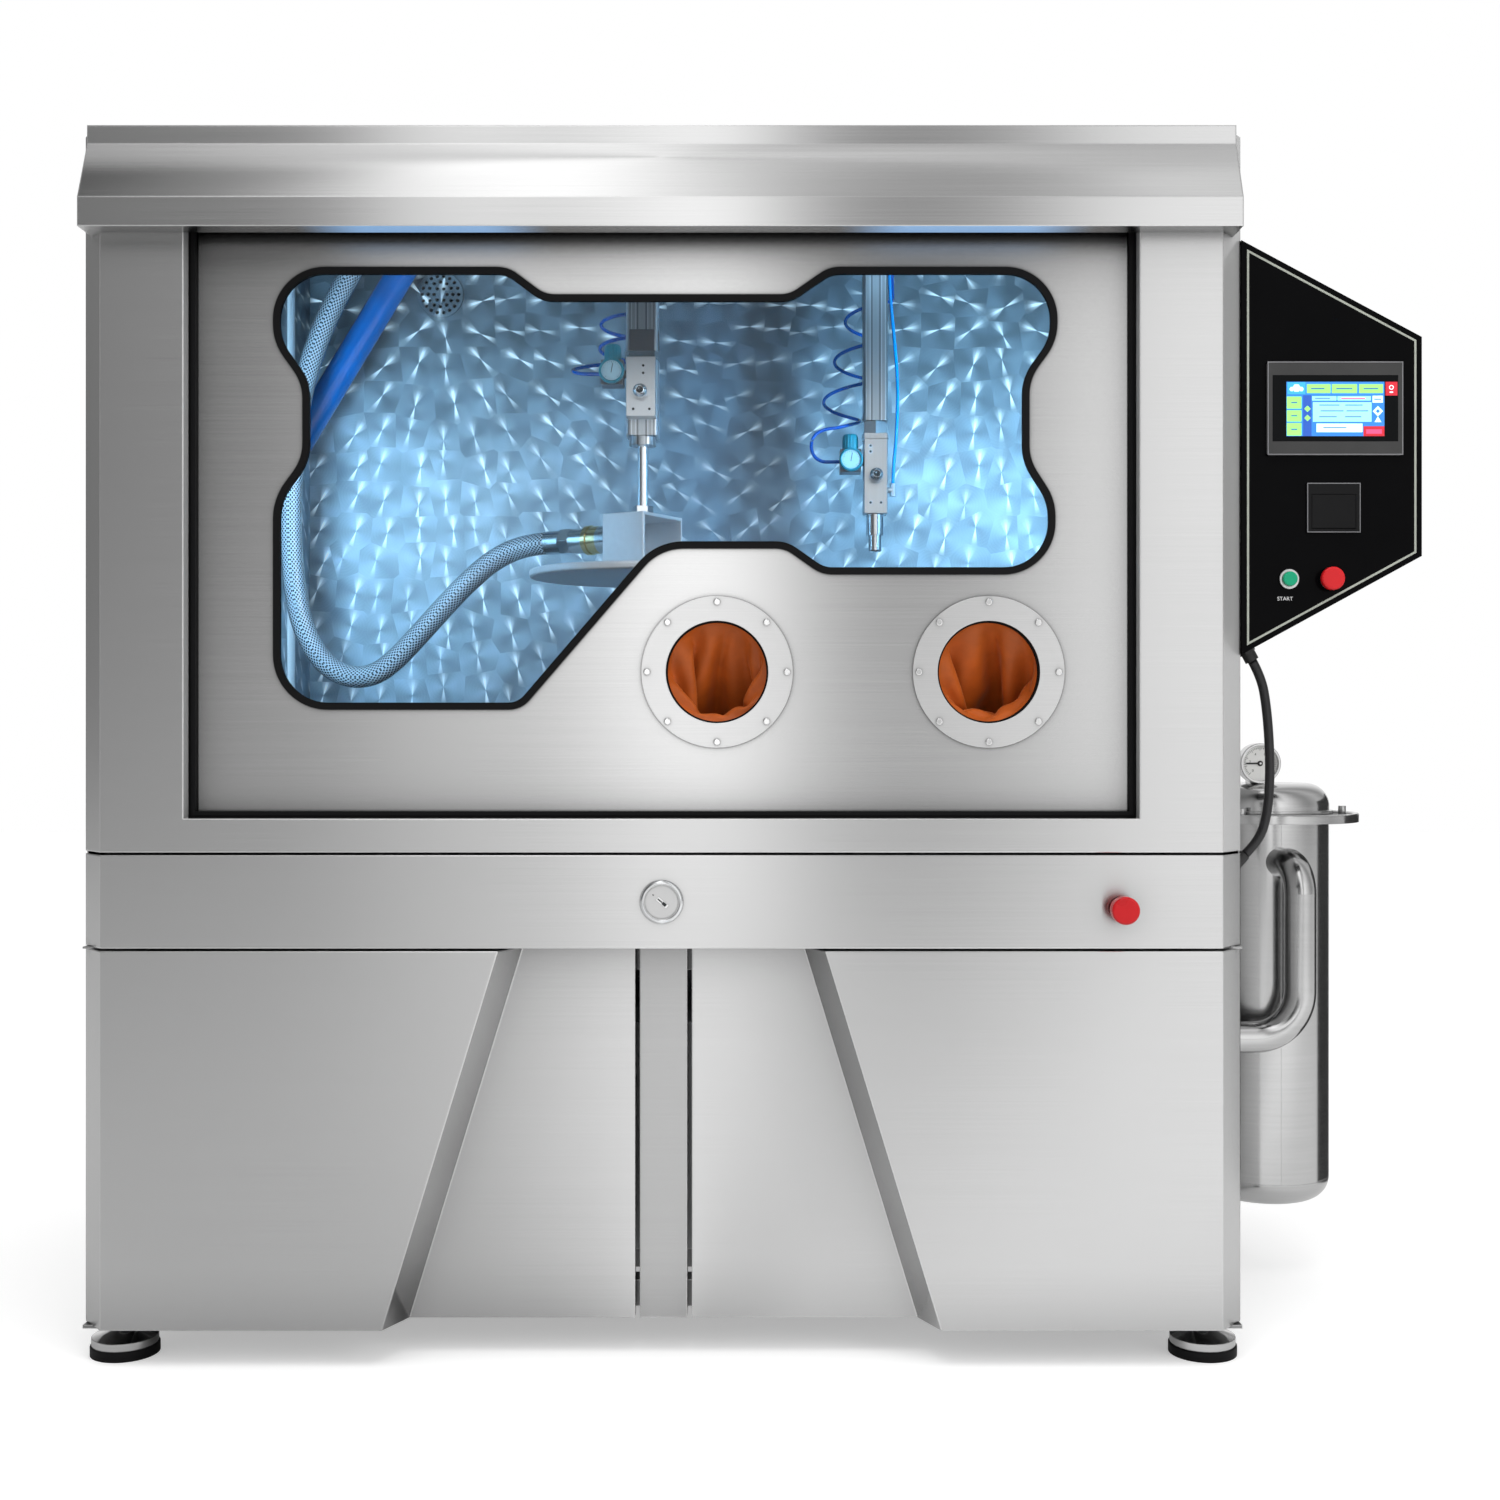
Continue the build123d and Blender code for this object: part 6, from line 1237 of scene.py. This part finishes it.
lockGapShade = turned("lockGapShade", lock["gap"], lock["at"], "y", needleAndShadeBlack, 72)
for piece in (lockRim, lockGapShade):
    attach(piece, "drawer")
keySlot = colouredShapes("keySlot", slotShapes, lock["slotAt"], 0.02, printAndPaintedShade)
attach(keySlot, "drawer_lock")
print("fittings done")

# Stage: pale floor that keeps the shadow, soft lamps, white surround. Mirror tones go by compass way, in
# turns with the front at 0.5.
stageSetup = {
    "floor": (0.8, 0.8, 0.8, 1),
    "inMirrors": (0.67, 0.67, 0.67, 1),
    "lift": 0.40,
    "half": 14.0,
    "mirror": (
        (0.0, 0.2), (0.34, 0.0), (0.42, 0.0), (0.45, 0.06), (0.475, 0.23), (0.492, 0.44), (0.502, 0.42),
        (0.516, 0.2), (0.535, 0.2), (0.56, 0.36), (0.60, 0.42), (0.68, 0.2),
    ),
}


# Turns of the compass about a place on the floor, the front at 0.5
def compassOn(tree, vector, midX=0.0):
    apart = apartOn(tree, vector)
    frontWay = mathOn(tree, "MULTIPLY", apart[1], -1.0)
    compass = mathOn(tree, "ARCTAN2", mathOn(tree, "SUBTRACT", apart[0], midX), frontWay)
    return mathOn(tree, "MULTIPLY_ADD", compass, 0.5 / math.pi, 0.5), apart[2]


# Rays straight from the camera, and rays that a mirror or a pane sends on
def raysOn(tree):
    rays = addNode(tree, "LightPath").outputs
    return rays["Is Camera Ray"], mathOn(tree, "MAXIMUM", rays["Is Glossy Ray"], rays["Is Transmission Ray"])


floorMaterial, tree, shader = startMaterial("paleFloor", {"Roughness": 0.9})
direct, mirrored = raysOn(tree)
turns, height = compassOn(tree, coordsOn(tree), cabinet["midX"] / 1000)
patch = rampOn(tree, turns, [(place, even(tone)) for place, tone in stageSetup["mirror"]])
seen = mathOn(tree, "MULTIPLY", direct, stageSetup["lift"])
wire(tree, shader, {
    "Base Color": mixOn(tree, mirrored, stageSetup["floor"], stageSetup["inMirrors"]),
    "Emission Color": (1, 1, 1, 1),
    "Emission Strength": mathOn(tree, "MULTIPLY_ADD", mirrored, patch, seen),
})
half = stageSetup["half"]
floorCorners = [(-half, -half, 0), (half, -half, 0), (half, half, 0), (-half, half, 0)]
floor = addPiece("floor", floorCorners, [(0, 1, 2, 3)], floorMaterial, smooth=False)

# Dark flag, seen only in mirrors: it gives the round canister its dark side
flagSetup = {"from": (1610, 448), "to": (1436, 924), "top": 930}
flagMaterial = moulded("blackFlag", even(0.09), 0.8, shine=0.1)
flagX, flagY = np.array([flagSetup["from"], flagSetup["to"], flagSetup["to"], flagSetup["from"]]).T
flagCorners = spot(flagX, flagY, np.array([0, 0, 1, 1]) * flagSetup["top"])
flag = addPiece("darkFlag", flagCorners, [(0, 1, 2, 3)], flagMaterial, smooth=False)
flag.visible_camera = False
flag.visible_diffuse = False
flag.visible_shadow = False
flag.visible_transmission = False

# Surround: soft boxes and dark gaps in front, dark flags at the sides, white behind, in three bands that
# run into each other: level with the machine, raised, and overhead
surround = {
    "soft": 0.76,
    "white": 1.0,
    "top": 2.0,
    "bandHeights": (0.02, 0.33, 0.8),
    "left": ((0.075, 1.0), (0.105, 0.1), (0.15, 0.1), (0.19, 0.55), (0.26, 0.7), (0.34, 0.2), (0.39, 0.1)),
    "right": ((0.575, 1.15), (0.62, 0.8), (0.66, 0.5), (0.70, 0.4), (0.78, 0.7), (0.85, 0.4), (0.925, 1.0)),
    "level": (
        (0.445, 0.35), (0.461, 0.45), (0.468, 0.53), (0.475, 0.62), (0.482, 0.77), (0.488, 1.38),
        (0.496, 1.9), (0.501, 1.55), (0.506, 0.70), (0.511, 0.46), (0.517, 0.5), (0.523, 0.72),
        (0.530, 1.2), (0.537, 1.5), (0.555, 1.4),
    ),
    "raised": (
        (0.445, 0.05), (0.460, 0.08), (0.465, 0.45), (0.469, 1.3), (0.476, 1.5), (0.482, 1.1), (0.488, 1.35),
        (0.496, 1.75), (0.500, 1.5), (0.505, 0.5), (0.511, 0.3), (0.520, 0.38), (0.525, 0.62), (0.531, 1.25),
        (0.537, 1.5), (0.555, 1.3),
    ),
    "overhead": (
        (0.400, 0.35), (0.415, 0.5), (0.428, 1.2), (0.438, 1.9), (0.470, 1.9), (0.485, 1.3), (0.500, 1.0),
        (0.514, 0.65), (0.530, 0.45), (0.550, 0.45), (0.565, 0.7),
    ),
}
world = bpy.data.worlds.new("studio")
scene.world = world
world.use_nodes = True
tree = world.node_tree
tree.nodes.clear()
direct, mirrored = raysOn(tree)
turns, height = compassOn(tree, coordsOn(tree, "Generated"))
bands = []
for band in ("level", "raised", "overhead"):
    stops = surround["left"] + surround[band] + surround["right"]
    bands.append(rampOn(tree, turns, [(place, even(tone / surround["top"])) for place, tone in stops]))
low, middle, high = surround["bandHeights"]
for lower, upper, band in ((low, middle, 1), (middle, high, 2)):
    bands[0] = mixOn(tree, spanOn(tree, height, 0.0, 1.0, lower, upper), bands[0], bands[band])
glossTone = mathOn(tree, "MULTIPLY", bands[0], surround["top"])
lit = addNode(tree, "Mix", {0: mirrored, 2: surround["soft"], 3: glossTone}, data_type="FLOAT").outputs[0]
strength = addNode(tree, "Mix", {0: direct, 2: lit, 3: surround["white"]}, data_type="FLOAT").outputs[0]
backdrop = addNode(tree, "Background", {"Color": (1, 1, 1, 1), "Strength": strength})
addNode(tree, "OutputWorld", {0: backdrop.outputs[0]})


# Soft lamp that looks at a place
def softLamp(name, at, look, size, power, colour=(1, 1, 1)):
    data = bpy.data.lights.new(name, "AREA")
    data.shape = "RECTANGLE"
    data.size, data.size_y = size
    data.energy = power
    data.color = colour
    lamp = bpy.data.objects.new(name, data)
    lamp.visible_glossy = False
    lamp.visible_camera = False
    lamp.location = spot(*at)
    way = camera.location.copy()
    way[:] = spot(*look) - spot(*at)
    lamp.rotation_euler = way.to_track_quat("-Z", "Y").to_euler()
    scene.collection.objects.link(lamp)


softLamp("overheadSoftbox", (100, -1200, 4200), (100, 100, 900), (3.0, 2.0), 60)
softLamp("rightSoftbox", (3200, -2600, 2400), (200, 0, 900), (1.6, 2.2), 45)
chamberLamps = {
    "colour": (0.42, 0.74, 1.0),
    "size": (0.10, 0.30),
    "places": (((-650, 130, 1330), (-600, 750, 1230), 6.4), ((650, 130, 1400), (600, 750, 1300), 9.6)),
}
for number, (at, look, power) in enumerate(chamberLamps["places"]):
    softLamp(f"chamberLamp{number}", at, look, chamberLamps["size"], power, chamberLamps["colour"])
print("stage ready")
